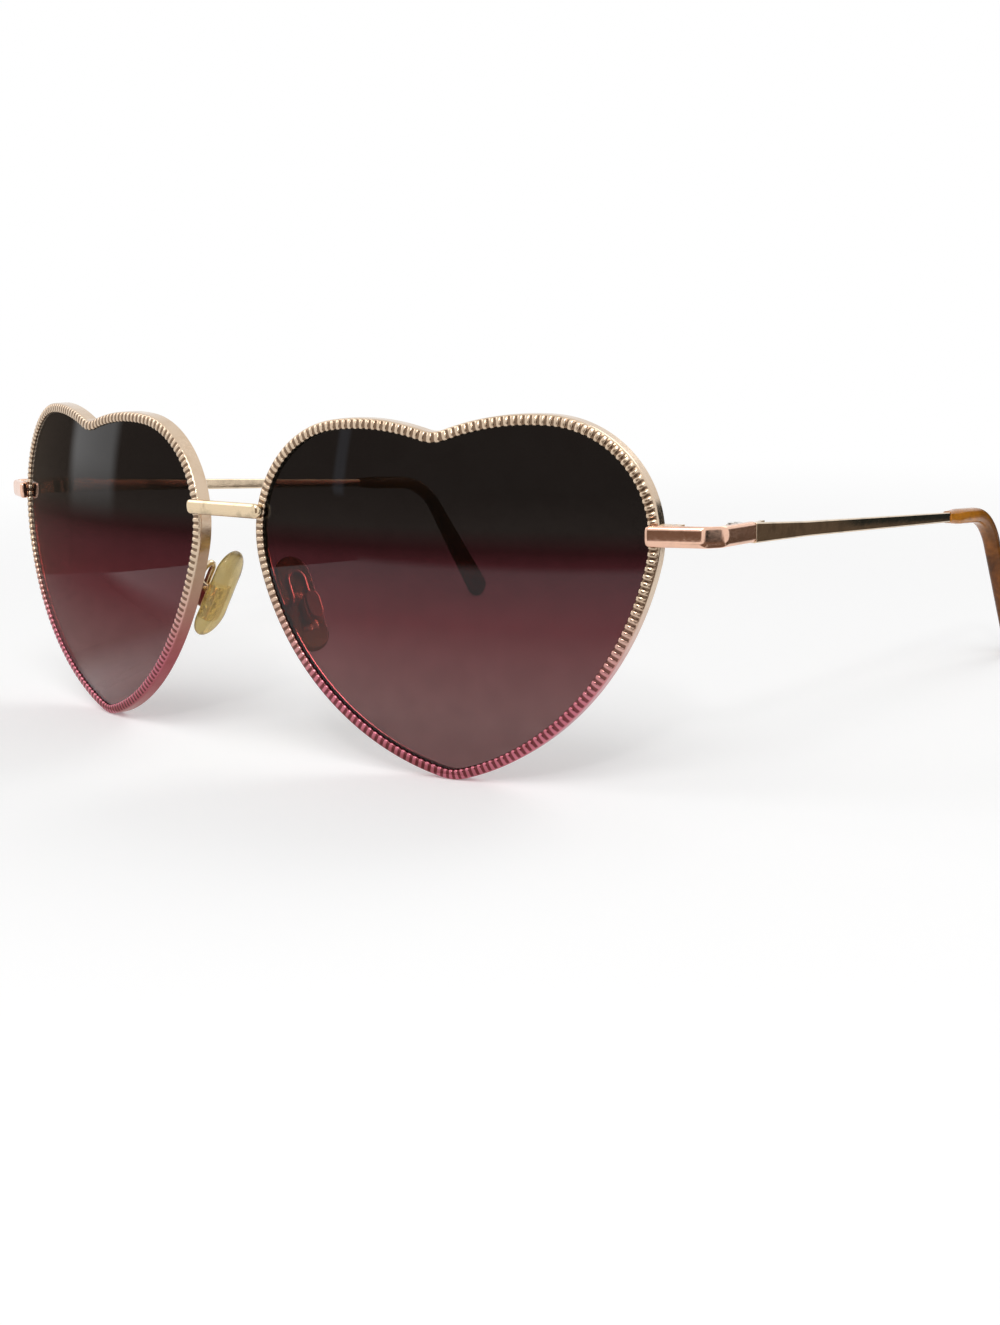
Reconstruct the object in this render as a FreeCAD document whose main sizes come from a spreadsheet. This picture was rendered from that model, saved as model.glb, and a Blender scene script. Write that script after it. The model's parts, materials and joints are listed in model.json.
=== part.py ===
import FreeCAD, Part
import math
import os
import re
import Sketcher
from FreeCAD import Placement, Rotation, Vector

# Heart-shaped metal sunglasses, in millimetres.
# +X is the wearer's left, +Y runs back along the temples, +Z is up.
# The left pieces are modelled; each right piece is the mirror image of its left one.
# Levels are heights above the middle of the hearts, and depths are behind their middle.

SIZES = {
    # Outer edge of one rim: arcs about the heart's own axis
    "lobe_offset": 14.55,
    "lobe_height": 8.2,
    "lobe_radius": 15.45,
    "crown_offset": 12.45,
    "crown_radius": 36.4,
    "notch_radius": 5.0,
    "side_radius": 39.3,
    "point_drop": 17.4,
    "point_radius": 6.7,
    # Where the two hearts stand
    "lens_offset": 36.22,
    "wrap_angle": 12.6,
    "heart_turn": 1.36,
    # Rim section and the lens in its groove
    "rim_width": 1.46,
    "rim_depth": 2.15,
    "front_radius": 120.4,
    "groove_depth": 0.5,
    "lens_recess": 0.45,
    "lens_thickness": 1.3,
    "lens_clearance": 0.06,
    # Bridge bar, brazed over the fronts of both rims
    "bridge_level": 10.7,
    "bridge_length": 15.2,
    "bridge_height": 2.1,
    "bridge_thickness": 1.05,
    "bridge_edge": 0.4,
    # End piece: a root plate over the rim's front and a leg back to the hinge
    "root_level": 9.35,
    "root_height": 2.65,
    "root_thickness": 1.3,
    "root_angle": 21.5,
    "facet_length": 2.0,
    "leg_length": 9.9,
    "seat_depth": 0.15,
    # Closing block halves behind the root plate, with their screw
    "block_width": 2.4,
    "block_height": 1.15,
    "block_inset": 0.25,
    "split_gap": 0.2,
    "rim_screw_diameter": 0.8,
    "rim_screw_head": 1.4,
    "rim_screw_head_height": 0.4,
    # Hinge: two front knuckles, one temple knuckle, leaves brazed to the bars
    "hinge_x": 67.81,
    "hinge_depth": 22.28,
    "hinge_level": 8.6,
    "bar_offset": 2.3,
    "bar_thickness": 1.4,
    "joint_gap": 0.06,
    "barrel_diameter": 2.3,
    "barrel_height": 1.9,
    "knuckle_height": 0.62,
    "knuckle_gap": 0.06,
    "knuckle_room": 0.1,
    "leaf_thickness": 0.5,
    "leaf_length": 3.8,
    "leaf_height": 1.9,
    "tongue_length": 0.8,
    "tongue_setback": 0.15,
    "hinge_screw_diameter": 1.2,
    "hinge_screw_head": 1.9,
    "hinge_screw_head_height": 0.22,
    "hinge_screw_end": 0.15,
    "screw_clearance": 0.03,
    # Temple: a flat bar that tapers, with a core inside the tip cover
    "temple_toe": 5.38,
    "temple_slope": 4.79,
    "temple_root_height": 2.66,
    "temple_neck_height": 2.05,
    "temple_end_height": 1.55,
    "temple_flare_length": 15.0,
    "temple_bar_length": 66.5,
    "tip_straight": 17.5,
    "bend_radius": 12.0,
    "hook_angle": 58.0,
    "core_height": 1.1,
    "core_thickness": 0.8,
    "core_cover": 7.0,
    "core_root": 1.5,
    # Tip cover over the core
    "tip_height": 2.4,
    "tip_end_radius": 2.3,
    "tip_thickness": 2.6,
    "tip_edge": 0.75,
    "tip_clearance": 0.05,
    # Nose pad and the parts that carry it
    "pad_drop": 2.9,
    "pad_inward": 0.68,
    "pad_back": 6.05,
    "pad_splay": 15.0,
    "pad_lean": 28.5,
    "pad_length": 14.2,
    "pad_top_radius": 2.6,
    "pad_low_radius": 2.85,
    "pad_thickness": 2.4,
    "pad_edge": 1.0,
    "pad_back_edge": 0.5,
    "stem_drop": 1.4,
    "foot_width": 2.3,
    "foot_length": 5.6,
    "foot_depth": 1.0,
    "foot_clearance": 0.05,
    "tab_thickness": 1.0,
    "tab_length": 2.0,
    "tab_end": 0.75,
    "pad_pivot": 1.3,
    "box_gap": 0.45,
    "box_depth": 2.25,
    "box_floor": 0.4,
    "box_width": 2.3,
    "box_length": 4.0,
    "box_inner_width": 1.4,
    "box_inner_length": 3.2,
    "box_corner": 0.6,
    "box_inner_corner": 0.25,
    "pad_screw_diameter": 0.8,
    "pad_screw_head": 1.4,
    "pad_screw_head_height": 0.35,
    # Pad arm: a wire from the rim's back that loops over to the box
    "arm_drop": 3.3,
    "arm_diameter": 0.95,
    "arm_foot": 0.5,
    "arm_top": 3.9,
    "arm_bend": 1.25,
    "arm_sink": 0.15,
    "arm_root": 0.4,
}

doc = FreeCAD.newDocument("HeartSunglasses")
sheet = doc.addObject("Spreadsheet::Sheet", "Sizes")
for row, (alias, value) in enumerate(SIZES.items(), start=1):
    sheet.set(f"A{row}", alias)
    sheet.set(f"B{row}", str(value))
    sheet.setAlias(f"B{row}", alias)
doc.recompute()

pieces = {}


def cells(text):
    """The formula with every size name pointed at its cell of the sheet."""
    return re.sub(r"[a-z]+(?:_[a-z]+)+", r"Sizes.\g<0>", str(text))


def size(text):
    """The value of a formula of size names."""
    return float(sheet.evalExpression(cells(text)))


def bind(item, prop, text):
    """Tie a property of a feature to a formula of size names."""
    item.setExpression(prop, cells(text))


def dimension(sketch, kind, where, text):
    """Add a driving dimension to a sketch and tie it to a formula of size names."""
    number = sketch.addConstraint(Sketcher.Constraint(kind, *where, size(text)))
    bind(sketch, f"Constraints[{number}]", text)


def pin(sketch, geometry, point, x, y):
    """Fix a point of a sketch at two formulas."""
    dimension(sketch, "DistanceX", (-1, 1, geometry, point), x)
    dimension(sketch, "DistanceY", (-1, 1, geometry, point), y)


def facing(start, end):
    """The angle of the line from one point to another."""
    return math.atan2(end[1] - start[1], end[0] - start[0])


def add_arc(sketch, centre, radius, start, end):
    """Add a counter-clockwise arc between two angles and return its number."""
    circle = Part.Circle(Vector(centre[0], centre[1], 0), Vector(0, 0, 1), radius)
    return sketch.addGeometry(Part.ArcOfCircle(circle, start, end))


def outline(sketch, corners):
    """Close a ring of lines and arcs through corners.

    A corner is (x, y) or (x, y, (centre x, centre y, clockwise)), where the third entry
    makes the stretch to the next corner an arc. All entries but the last are formulas.
    """
    points = [(size(corner[0]), size(corner[1])) for corner in corners]
    ends = []
    for index, corner in enumerate(corners):
        here = points[index]
        there = points[(index + 1) % len(points)]
        if len(corner) == 2:
            number = sketch.addGeometry(Part.LineSegment(Vector(*here, 0), Vector(*there, 0)))
            ends.append((number, 1, 2))
            continue
        centre_x, centre_y, clockwise = corner[2]
        centre = (size(centre_x), size(centre_y))
        first, last = (there, here) if clockwise else (here, there)
        number = add_arc(sketch, centre, math.dist(centre, here), facing(centre, first), facing(centre, last))
        ends.append((number, 2, 1) if clockwise else (number, 1, 2))
    for index, (number, _, last) in enumerate(ends):
        following, first, _ = ends[(index + 1) % len(ends)]
        sketch.addConstraint(Sketcher.Constraint("Coincident", number, last, following, first))
    for index, ((number, first, _), corner) in enumerate(zip(ends, corners)):
        pin(sketch, number, first, corner[0], corner[1])
        if len(corner) == 3:
            here = points[index]
            there = points[(index + 1) % len(points)]
            if abs(there[0] - here[0]) > abs(there[1] - here[1]):
                dimension(sketch, "DistanceY", (-1, 1, number, 3), corner[2][1])
            else:
                dimension(sketch, "DistanceX", (-1, 1, number, 3), corner[2][0])


def rectangle(sketch, left, right, low, high):
    """Close a rectangle between four formulas."""
    outline(sketch, [(left, low), (right, low), (right, high), (left, high)])


def octagon(sketch, width, length, corner, level="0"):
    """Close a rectangle with cut corners, centred at a level."""
    wide = f"({width}) / 2"
    low = f"{level} - ({length}) / 2"
    high = f"{level} + ({length}) / 2"
    outline(sketch, [
        (f"{corner} - {wide}", low),
        (f"{wide} - {corner}", low),
        (wide, f"{low} + {corner}"),
        (wide, f"{high} - {corner}"),
        (f"{wide} - {corner}", high),
        (f"{corner} - {wide}", high),
        (f"-{wide}", f"{high} - {corner}"),
        (f"-{wide}", f"{low} + {corner}"),
    ])


def disc(sketch, diameter, x="0", y="0"):
    """Add a circle at a point given by two formulas."""
    circle = Part.Circle(Vector(size(x), size(y), 0), Vector(0, 0, 1), size(diameter) / 2)
    number = sketch.addGeometry(circle)
    pin(sketch, number, 3, x, y)
    dimension(sketch, "Diameter", (number,), diameter)


def heart_centres():
    """Centres of the right-hand lobe, crown and side arcs, and of the notch and point arcs."""
    lobe = (size("lobe_offset"), size("lobe_height"))
    point = (0.0, -size("point_drop"))
    crown_rise = size("sqrt((crown_radius - lobe_radius)^2 - (lobe_offset - crown_offset)^2)")
    crown = (size("crown_offset"), lobe[1] - crown_rise)
    notch = (0.0, crown[1] + size("sqrt((crown_radius + notch_radius)^2 - crown_offset^2)"))
    to_lobe = size("side_radius - lobe_radius")
    to_point = size("side_radius - point_radius")
    span = math.dist(lobe, point)
    along = (to_lobe ** 2 - to_point ** 2 + span ** 2) / (2 * span)
    aside = math.sqrt(to_lobe ** 2 - along ** 2)
    step = ((point[0] - lobe[0]) / span, (point[1] - lobe[1]) / span)
    side = (lobe[0] + along * step[0] + aside * step[1], lobe[1] + along * step[1] - aside * step[0])
    return lobe, crown, side, notch, point


def heart(sketch, inset="0"):
    """Draw the heart, inset from the rim's outer edge: eight arcs that run into one another."""
    lobe, crown, side, notch, point = heart_centres()
    steps = [
        ("side_radius", side, facing(side, point), facing(side, lobe)),
        ("lobe_radius", lobe, facing(side, lobe), facing(crown, lobe)),
        ("crown_radius", crown, facing(crown, lobe), facing(crown, notch)),
    ]
    right = []
    left = []
    for name, centre, start, end in steps:
        radius = size(f"{name} - ({inset})")
        right.append(add_arc(sketch, centre, radius, start, end))
        left.append(add_arc(sketch, (-centre[0], centre[1]), radius, math.pi - end, math.pi - start))
    fold = facing(notch, crown)
    notch_arc = add_arc(sketch, notch, size(f"notch_radius + ({inset})"), -math.pi - fold, fold)
    lean = facing(side, point)
    point_arc = add_arc(sketch, point, size(f"point_radius - ({inset})"), -math.pi - lean, lean)
    joins = [(right[0], 2, right[1], 1), (right[1], 2, right[2], 1), (right[2], 2, notch_arc, 2)]
    joins += [(left[1], 2, left[0], 1), (left[2], 2, left[1], 1), (notch_arc, 1, left[2], 1)]
    joins += [(left[0], 2, point_arc, 1), (point_arc, 2, right[0], 1)]
    for join in joins:
        sketch.addConstraint(Sketcher.Constraint("Tangent", *join))
    for (name, *_), number, mirrored in zip(steps, right, left):
        dimension(sketch, "Radius", (number,), f"{name} - ({inset})")
        dimension(sketch, "Radius", (mirrored,), f"{name} - ({inset})")
    dimension(sketch, "Radius", (notch_arc,), f"notch_radius + ({inset})")
    dimension(sketch, "Radius", (point_arc,), f"point_radius - ({inset})")
    pin(sketch, right[1], 3, "lobe_offset", "lobe_height")
    pin(sketch, left[1], 3, "-lobe_offset", "lobe_height")
    dimension(sketch, "DistanceX", (-1, 1, right[2], 3), "crown_offset")
    dimension(sketch, "DistanceX", (-1, 1, left[2], 3), "-crown_offset")
    pin(sketch, point_arc, 3, "0", "-point_drop")


def rim_edge(level):
    """Half width of the heart on its side arc, at a height above its middle."""
    _, _, side, _, _ = heart_centres()
    return side[0] + math.sqrt(size("side_radius") ** 2 - (level - side[1]) ** 2)


def sag(across, level):
    """Formula of how far the rim's dished front falls back, away from the heart's middle."""
    return f"(front_radius - sqrt(front_radius^2 - ({across})^2 - ({level})^2))"


def from_lens(across, depth):
    """Formulas of a plan point given across and behind the left lens."""
    x = f"lens_offset + ({across}) * cos(wrap_angle) - ({depth}) * sin(wrap_angle)"
    y = f"({across}) * sin(wrap_angle) + ({depth}) * cos(wrap_angle)"
    return x, y


def from_hinge(across, along):
    """Formulas of a plan point given in the left hinge's frame, which toes in with the temple."""
    x = f"hinge_x + ({across}) * cos(temple_toe) - ({along}) * sin(temple_toe)"
    y = f"hinge_depth + ({across}) * sin(temple_toe) + ({along}) * cos(temple_toe)"
    return x, y


RIM_OUT = "(lobe_offset + lobe_radius)"
NASAL = "(lobe_offset + lobe_radius - rim_width / 2)"
BRIDGE_SEAT = from_lens(f"-{NASAL}", sag(NASAL, "lobe_height"))[1]
BAR_INNER = "(bar_offset - bar_thickness / 2)"
BAR_OUTER = "(bar_offset + bar_thickness / 2)"
LEAF_START = "(barrel_diameter / 2 + knuckle_room)"
BEND = "(temple_bar_length + tip_straight)"
SLOPE = ("cos(temple_slope)", "sin(temple_slope)")
HOOK = ("cos(hook_angle)", "sin(hook_angle)")
HEART_LEVEL = "(point_drop * cos(heart_turn) + point_radius)"
TIP_FALL = f"(hinge_level + {HEART_LEVEL} - {BEND} * sin(temple_slope) - tip_end_radius)"
TIP_RUN = f"({TIP_FALL} / sin(hook_angle))"
TIP_BACK = f"({BEND} * cos(temple_slope) + {TIP_RUN} * cos(hook_angle) + tip_end_radius)"

# The origin is under the middle of the whole part, on the surface that it stands on
REAR = from_hinge("bar_offset + tip_thickness / 2 - tip_edge", TIP_BACK)[1]
FRONT = f"({BRIDGE_SEAT} - bridge_thickness)"
SHIFT = Vector(0, -size(f"({FRONT} + {REAR}) / 2"), size(HEART_LEVEL))


def place(x=0.0, y=0.0, z=0.0, rotation=None):
    """Placement at a point of the front, measured from the middle between the hearts."""
    return Placement(Vector(x, y, z) + SHIFT, rotation or Rotation())


def turned(axis, angle):
    return Rotation(axis, angle)


UP = Vector(0, 0, 1)
BACK = Vector(0, 1, 0)
ASIDE = Vector(1, 0, 0)
WRAP = turned(UP, size("wrap_angle"))
LENS_AT = place(size("lens_offset"), 0, 0, WRAP * turned(BACK, -size("heart_turn")))
BLOCK_AT = place(size("lens_offset"), 0, 0, WRAP)
HINGE_AT = place(size("hinge_x"), size("hinge_depth"), size("hinge_level"), turned(UP, size("temple_toe")))
STANDING = Placement(Vector(), turned(ASIDE, 90))


def free_sketch(name, placement):
    sketch = doc.addObject("Sketcher::SketchObject", name)
    sketch.Placement = placement
    return sketch


def extrude(sketch, forward, backward="0"):
    """Solid of a sketch, pushed along its normal and against it."""
    solid = doc.addObject("Part::Extrusion", sketch.Name + "_solid")
    solid.Base = sketch
    solid.DirMode = "Normal"
    solid.Solid = True
    bind(solid, "LengthFwd", forward)
    bind(solid, "LengthRev", backward)
    return solid


def cut(name, base, tool):
    item = doc.addObject("Part::Cut", name)
    item.Base = base
    item.Tool = tool
    return item


def common(name, first, second):
    item = doc.addObject("Part::Common", name)
    item.Base = first
    item.Tool = second
    return item


def block(name, placement, low, high):
    """Box between two corners, each given as three formulas in the frame of the placement."""
    item = doc.addObject("Part::Box", name)
    for prop, start, end in zip(("Length", "Width", "Height"), low, high):
        bind(item, prop, f"({end}) - ({start})")
    item.Placement = placement * Placement(Vector(*(size(start) for start in low)), Rotation())
    return item


def rod(name, placement, diameter, low, high):
    """Cylinder along the Z axis of the placement, between two heights."""
    item = doc.addObject("Part::Cylinder", name)
    bind(item, "Radius", f"({diameter}) / 2")
    bind(item, "Height", f"({high}) - ({low})")
    item.Placement = placement * Placement(Vector(0, 0, size(low)), Rotation())
    return item


def new_body(name, placement):
    body = doc.addObject("PartDesign::Body", name)
    body.Placement = placement
    return body


def body_sketch(body, name, role, offset="0"):
    """Sketch on one of the body's own planes, set off along the plane's normal."""
    sketch = body.newObject("Sketcher::SketchObject", f"{body.Name}_{name}")
    plane = next(item for item in body.Origin.OriginFeatures if item.Role == role)
    sketch.AttachmentSupport = [(plane, "")]
    sketch.MapMode = "FlatFace"
    bind(sketch, "AttachmentOffset.Base.z", offset)
    return sketch


def pad(body, sketch, length, side="Symmetric"):
    feature = body.newObject("PartDesign::Pad", sketch.Name + "_pad")
    feature.Profile = sketch
    feature.SideType = side
    bind(feature, "Length", length)
    return feature


def pocket(body, sketch, length, side="Symmetric", reverse=False):
    feature = body.newObject("PartDesign::Pocket", sketch.Name + "_pocket")
    feature.Profile = sketch
    feature.SideType = side
    feature.Reversed = reverse
    bind(feature, "Length", length)
    return feature


def chamfer(body, normals, amount):
    """Chamfer round the flat faces that look along one of the normals."""
    doc.recompute()
    base = body.Tip
    names = []
    for number, face in enumerate(base.Shape.Faces, start=1):
        if isinstance(face.Surface, Part.Plane):
            looks = face.normalAt(0, 0)
            if any(looks.dot(normal) > 0.999 for normal in normals):
                names.append(f"Face{number}")
    feature = body.newObject("PartDesign::Chamfer", f"{base.Name}_chamfer")
    feature.Base = (base, names)
    bind(feature, "Size", amount)


def keep(name, item):
    """Name a finished piece."""
    item.Label = name
    pieces[name] = item
    return item


def keep_pair(name, item):
    """Name a finished left piece and make its mirror image for the right."""
    keep(name + "_left", item)
    mirrored = doc.addObject("Part::Mirroring", name + "_mirror")
    mirrored.Source = item
    mirrored.Normal = ASIDE
    keep(name + "_right", mirrored)
    return item


def dished_plate(name, insets, outer, inner):
    """Heart-shaped plate or ring between two spheres about one centre behind the lens."""
    sketch = free_sketch(name + "_outline", LENS_AT * STANDING)
    for inset in insets:
        heart(sketch, inset)
    prism = extrude(sketch, "rim_depth", "front_radius / 8")
    centre = LENS_AT * Placement(Vector(0, size("front_radius"), 0), Rotation())
    ball = doc.addObject("Part::Sphere", name + "_ball")
    bind(ball, "Radius", outer)
    ball.Placement = centre
    hollow = doc.addObject("Part::Sphere", name + "_hollow")
    bind(hollow, "Radius", inner)
    hollow.Placement = centre
    return common(name + "_blank", prism, cut(name + "_shell", ball, hollow))


def make_rim_and_lens():
    """Eyewire ring with the lens groove inside, split at the closing block, and its lens."""
    lens_front = "front_radius - lens_recess"
    lens_back = f"{lens_front} - lens_thickness"
    groove = "rim_width - groove_depth"
    ring = dished_plate("rim", ["0", "rim_width"], "front_radius", "front_radius - rim_depth")
    seat = dished_plate("groove", [groove], f"{lens_front} + lens_clearance", f"{lens_back} - lens_clearance")
    depth = sag(RIM_OUT, "root_level")
    split = block(
        "rim_split",
        BLOCK_AT,
        (f"{RIM_OUT} - 2 * rim_width", f"{depth} - rim_depth", "root_level - split_gap / 2"),
        (f"{RIM_OUT} + rim_width", f"{depth} + 2 * rim_depth", "root_level + split_gap / 2"),
    )
    keep_pair("rim", cut("rim_split_ring", cut("rim_grooved", ring, seat), split))
    lens = dished_plate("lens", [f"{groove} + lens_clearance"], lens_front, lens_back)
    keep_pair("lens", lens)
    return ring


def make_bridge(ring):
    """Straight bar with round ends, its back cut to sit on both rims."""
    body = new_body("bridge_bar", place())
    sketch = body_sketch(body, "face", "XZ_Plane", f"-({BRIDGE_SEAT}) - seat_depth")
    reach = "(bridge_length / 2 - bridge_height / 2)"
    half = "bridge_height / 2"
    low = f"bridge_level - {half}"
    high = f"bridge_level + {half}"
    outline(sketch, [
        (f"-{reach}", low),
        (reach, low, (reach, "bridge_level", False)),
        (reach, high),
        (f"-{reach}", high, (f"-{reach}", "bridge_level", False)),
    ])
    pad(body, sketch, "bridge_thickness + seat_depth", "One side")
    chamfer(body, [-BACK], "bridge_edge")
    mirrored = doc.addObject("Part::Mirroring", "rim_blank_mirror")
    mirrored.Source = ring
    mirrored.Normal = ASIDE
    keep("bridge", cut("bridge_seated", cut("bridge_left_seat", body, ring), mirrored))


def make_end_piece(ring):
    """Plate tangent to the rim's front that turns back, over a facet, into the hinge leg."""
    start = f"({RIM_OUT} - rim_width)"
    front = sag(start, "root_level")
    plan = free_sketch("end_piece_plan", place())
    outline(plan, [
        from_lens(start, f"{front} - root_thickness"),
        from_hinge(f"{BAR_OUTER} - facet_length * cos(root_angle)",
                   "-leg_length - facet_length * sin(root_angle)"),
        from_hinge(BAR_OUTER, "facet_length - leg_length"),
        from_hinge(BAR_OUTER, "-joint_gap / 2"),
        from_hinge(BAR_INNER, "-joint_gap / 2"),
        from_hinge(BAR_INNER,
                   "root_thickness / cos(root_angle) - bar_thickness * tan(root_angle) - leg_length"),
        from_lens(start, f"{front} + seat_depth"),
    ])
    side = free_sketch("end_piece_side", place(0, 0, 0, turned(UP, 90)) * STANDING)
    near = f"({from_lens(start, front)[1]} - 2 * root_thickness)"
    far = "(hinge_depth + bar_offset)"
    outline(side, [
        (near, "root_level - root_height / 2"),
        (far, "hinge_level - temple_root_height / 2"),
        (far, "hinge_level + temple_root_height / 2"),
        (near, "root_level + root_height / 2"),
    ])
    tall = "root_level + hinge_level"
    wide = "hinge_x + 2 * bar_offset"
    shape = common("end_piece_shape", extrude(plan, tall, tall), extrude(side, wide))
    seated = cut("end_piece_seated", shape, ring)
    relief = rod("screw_relief", closing_axis(), "rim_screw_head + 2 * screw_clearance",
                 "0", "2 * root_level")
    return keep_pair("end_piece", cut("end_piece_relieved", seated, relief))


def closing_axis():
    """Placement of the upright screw that closes the rim, in the middle of its blocks."""
    across = f"{RIM_OUT} + block_width / 2"
    middle = f"{sag(RIM_OUT, 'root_level')} + (rim_depth + block_inset) / 2"
    return BLOCK_AT * Placement(Vector(size(across), size(middle), 0), Rotation())


def make_closing_block(ring, end_piece):
    """Two block halves that clamp the split rim, brazed behind the end piece, and their screw."""
    depth = sag(RIM_OUT, "root_level")
    near = (f"{RIM_OUT} - rim_width / 2", depth)
    far = (f"{RIM_OUT} + block_width", f"{depth} + rim_depth - block_inset")
    levels = {
        "upper": ("root_level + split_gap / 2", "root_level + block_height"),
        "lower": ("root_level - block_height", "root_level - split_gap / 2"),
    }
    axis = closing_axis()
    hole = rod("block_hole", axis, "rim_screw_diameter + 2 * screw_clearance", "0", "2 * root_level")
    for name, (low, high) in levels.items():
        raw = block(f"block_{name}", BLOCK_AT, (*near, low), (*far, high))
        on_rim = cut(f"block_{name}_on_rim", raw, ring)
        seated = cut(f"block_{name}_seated", on_rim, end_piece)
        keep_pair(f"rim_block_{name}", cut(f"block_{name}_drilled", seated, hole))
    screw = screw_body("rim_screw_turned", axis, "rim_screw",
                       "root_level - block_height", "root_level + block_height", -1)
    keep_pair("rim_screw", screw)


def screw_body(name, placement, kind, low, high, up):
    """Turned screw along the placement's Z axis, with its head above (up 1) or below (up -1)."""
    body = new_body(name, placement)
    sketch = body_sketch(body, "half", "XZ_Plane")
    shank = f"{kind}_diameter / 2"
    head = f"{kind}_head / 2"
    tall = f"{kind}_head_height"
    crest = f"{high} + {tall}" if up > 0 else f"{low} - {tall}"
    if up > 0:
        corners = [("0", low), (shank, low), (shank, high), (head, high), (head, crest), ("0", crest)]
    else:
        corners = [("0", crest), (head, crest), (head, low), (shank, low), (shank, high), ("0", high)]
    outline(sketch, corners)
    feature = body.newObject("PartDesign::Revolution", name + "_turning")
    feature.Profile = sketch
    feature.ReferenceAxis = (sketch, ["V_Axis"])
    feature.Angle = 360
    return body


def leaf(body, low, high):
    """Hinge leaf, flat on the inner face of its bar."""
    sketch = body_sketch(body, "leaf", "XY_Plane")
    rectangle(sketch, f"{BAR_INNER} - leaf_thickness", BAR_INNER, low, high)
    pad(body, sketch, "leaf_height")


def knuckle(body, height, low, high):
    """Barrel on the hinge axis and the tongue that joins it to the leaf."""
    tongue = body_sketch(body, "tongue", "XY_Plane")
    rectangle(tongue, "0", BAR_INNER, low, high)
    pad(body, tongue, height)
    barrel = body_sketch(body, "barrel", "XY_Plane")
    disc(barrel, "barrel_diameter")
    pad(body, barrel, height)


def make_hinge():
    """Three-knuckle hinge: a forked front half, a temple half between its ears, and the screw."""
    tongue_far = f"{LEAF_START} + tongue_length"
    front = new_body("front_hinge_body", HINGE_AT)
    leaf(front, f"-{LEAF_START} - leaf_length", f"-{LEAF_START}")
    knuckle(front, "barrel_height", f"-({tongue_far})", "-tongue_setback")
    slot = body_sketch(front, "slot", "XY_Plane")
    rectangle(slot, "-barrel_diameter", "bar_offset", f"-{LEAF_START}", "barrel_diameter")
    pocket(front, slot, "knuckle_height + 2 * knuckle_gap")
    bore = body_sketch(front, "bore", "XY_Plane")
    disc(bore, "hinge_screw_diameter + 2 * screw_clearance")
    pocket(front, bore, "2 * barrel_height")
    keep_pair("front_hinge", front)

    rear = new_body("temple_hinge_body", HINGE_AT)
    leaf(rear, LEAF_START, f"{LEAF_START} + leaf_length")
    knuckle(rear, "knuckle_height", "tongue_setback", tongue_far)
    bore = body_sketch(rear, "bore", "XY_Plane")
    disc(bore, "hinge_screw_diameter + 2 * screw_clearance")
    pocket(rear, bore, "2 * barrel_height")
    keep_pair("temple_hinge", rear)

    low = "-barrel_height / 2 - hinge_screw_end"
    screw = screw_body("hinge_screw_turned", HINGE_AT, "hinge_screw", low, "barrel_height / 2", 1)
    keep_pair("hinge_screw", screw)


def on_slope(distance, rise):
    """Side-view point at a distance along the temple, and off its middle line."""
    along = f"({distance}) * {SLOPE[0]} + ({rise}) * {SLOPE[1]}"
    up = f"({rise}) * {SLOPE[0]} - ({distance}) * {SLOPE[1]}"
    return along, up


def on_hook(distance, rise):
    """Side-view point at a distance past the bend along the hook, and off its middle line."""
    along = f"{BEND} * {SLOPE[0]} + ({distance}) * {HOOK[0]} + ({rise}) * {HOOK[1]}"
    up = f"({rise}) * {HOOK[0]} - {BEND} * {SLOPE[1]} - ({distance}) * {HOOK[1]}"
    return along, up


def bent_strip(start, half, finish, end_half, rounded):
    """Corners of a strip that runs down the slope, round the bend and along the hook."""
    ease = "(bend_radius * tan((hook_angle - temple_slope) / 2))"
    straight = f"{BEND} - {ease}"
    centre = on_slope(straight, "-bend_radius")
    last = on_hook(finish, f"-({end_half})")
    if rounded:
        last = (*last, (*on_hook(finish, "0"), False))
    return [
        on_slope(start, f"-({half})"),
        (*on_slope(straight, f"-({half})"), (*centre, True)),
        on_hook(ease, f"-({half})"),
        last,
        on_hook(finish, end_half),
        (*on_hook(ease, half), (*centre, False)),
        on_slope(straight, half),
        on_slope(start, half),
    ]


def make_temple():
    """Flat bar that tapers back from the hinge and runs on as a thin core, and the tip cover."""
    core_end = f"{TIP_RUN} - core_cover"
    temple = new_body("temple_bar", HINGE_AT)
    side = body_sketch(temple, "side", "YZ_Plane", "bar_offset")
    outline(side, [
        ("joint_gap / 2", "-temple_root_height / 2"),
        on_slope("temple_flare_length", "-temple_neck_height / 2"),
        on_slope("temple_bar_length", "-temple_end_height / 2"),
        on_slope("temple_bar_length", "temple_end_height / 2"),
        on_slope("temple_flare_length", "temple_neck_height / 2"),
        ("joint_gap / 2", "temple_root_height / 2"),
    ])
    pad(temple, side, "bar_thickness")
    core = body_sketch(temple, "core", "YZ_Plane", "bar_offset")
    half = "core_height / 2"
    outline(core, bent_strip("temple_bar_length - core_root", half, core_end, half, False))
    pad(temple, core, "core_thickness")
    keep_pair("temple", temple)

    tip = new_body("tip_cover", HINGE_AT)
    cover = body_sketch(tip, "side", "YZ_Plane", "bar_offset")
    start = "temple_bar_length + tip_clearance"
    outline(cover, bent_strip(start, "tip_height / 2", TIP_RUN, "tip_end_radius", True))
    pad(tip, cover, "tip_thickness")
    chamfer(tip, [ASIDE, -ASIDE], "tip_edge")
    cavity = body_sketch(tip, "cavity", "YZ_Plane", "bar_offset")
    room = "core_height / 2 + tip_clearance"
    outline(cavity, bent_strip("temple_bar_length", room, f"{core_end} + tip_clearance", room, False))
    pocket(tip, cavity, "core_thickness + 2 * tip_clearance")
    keep_pair("temple_tip", tip)


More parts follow.
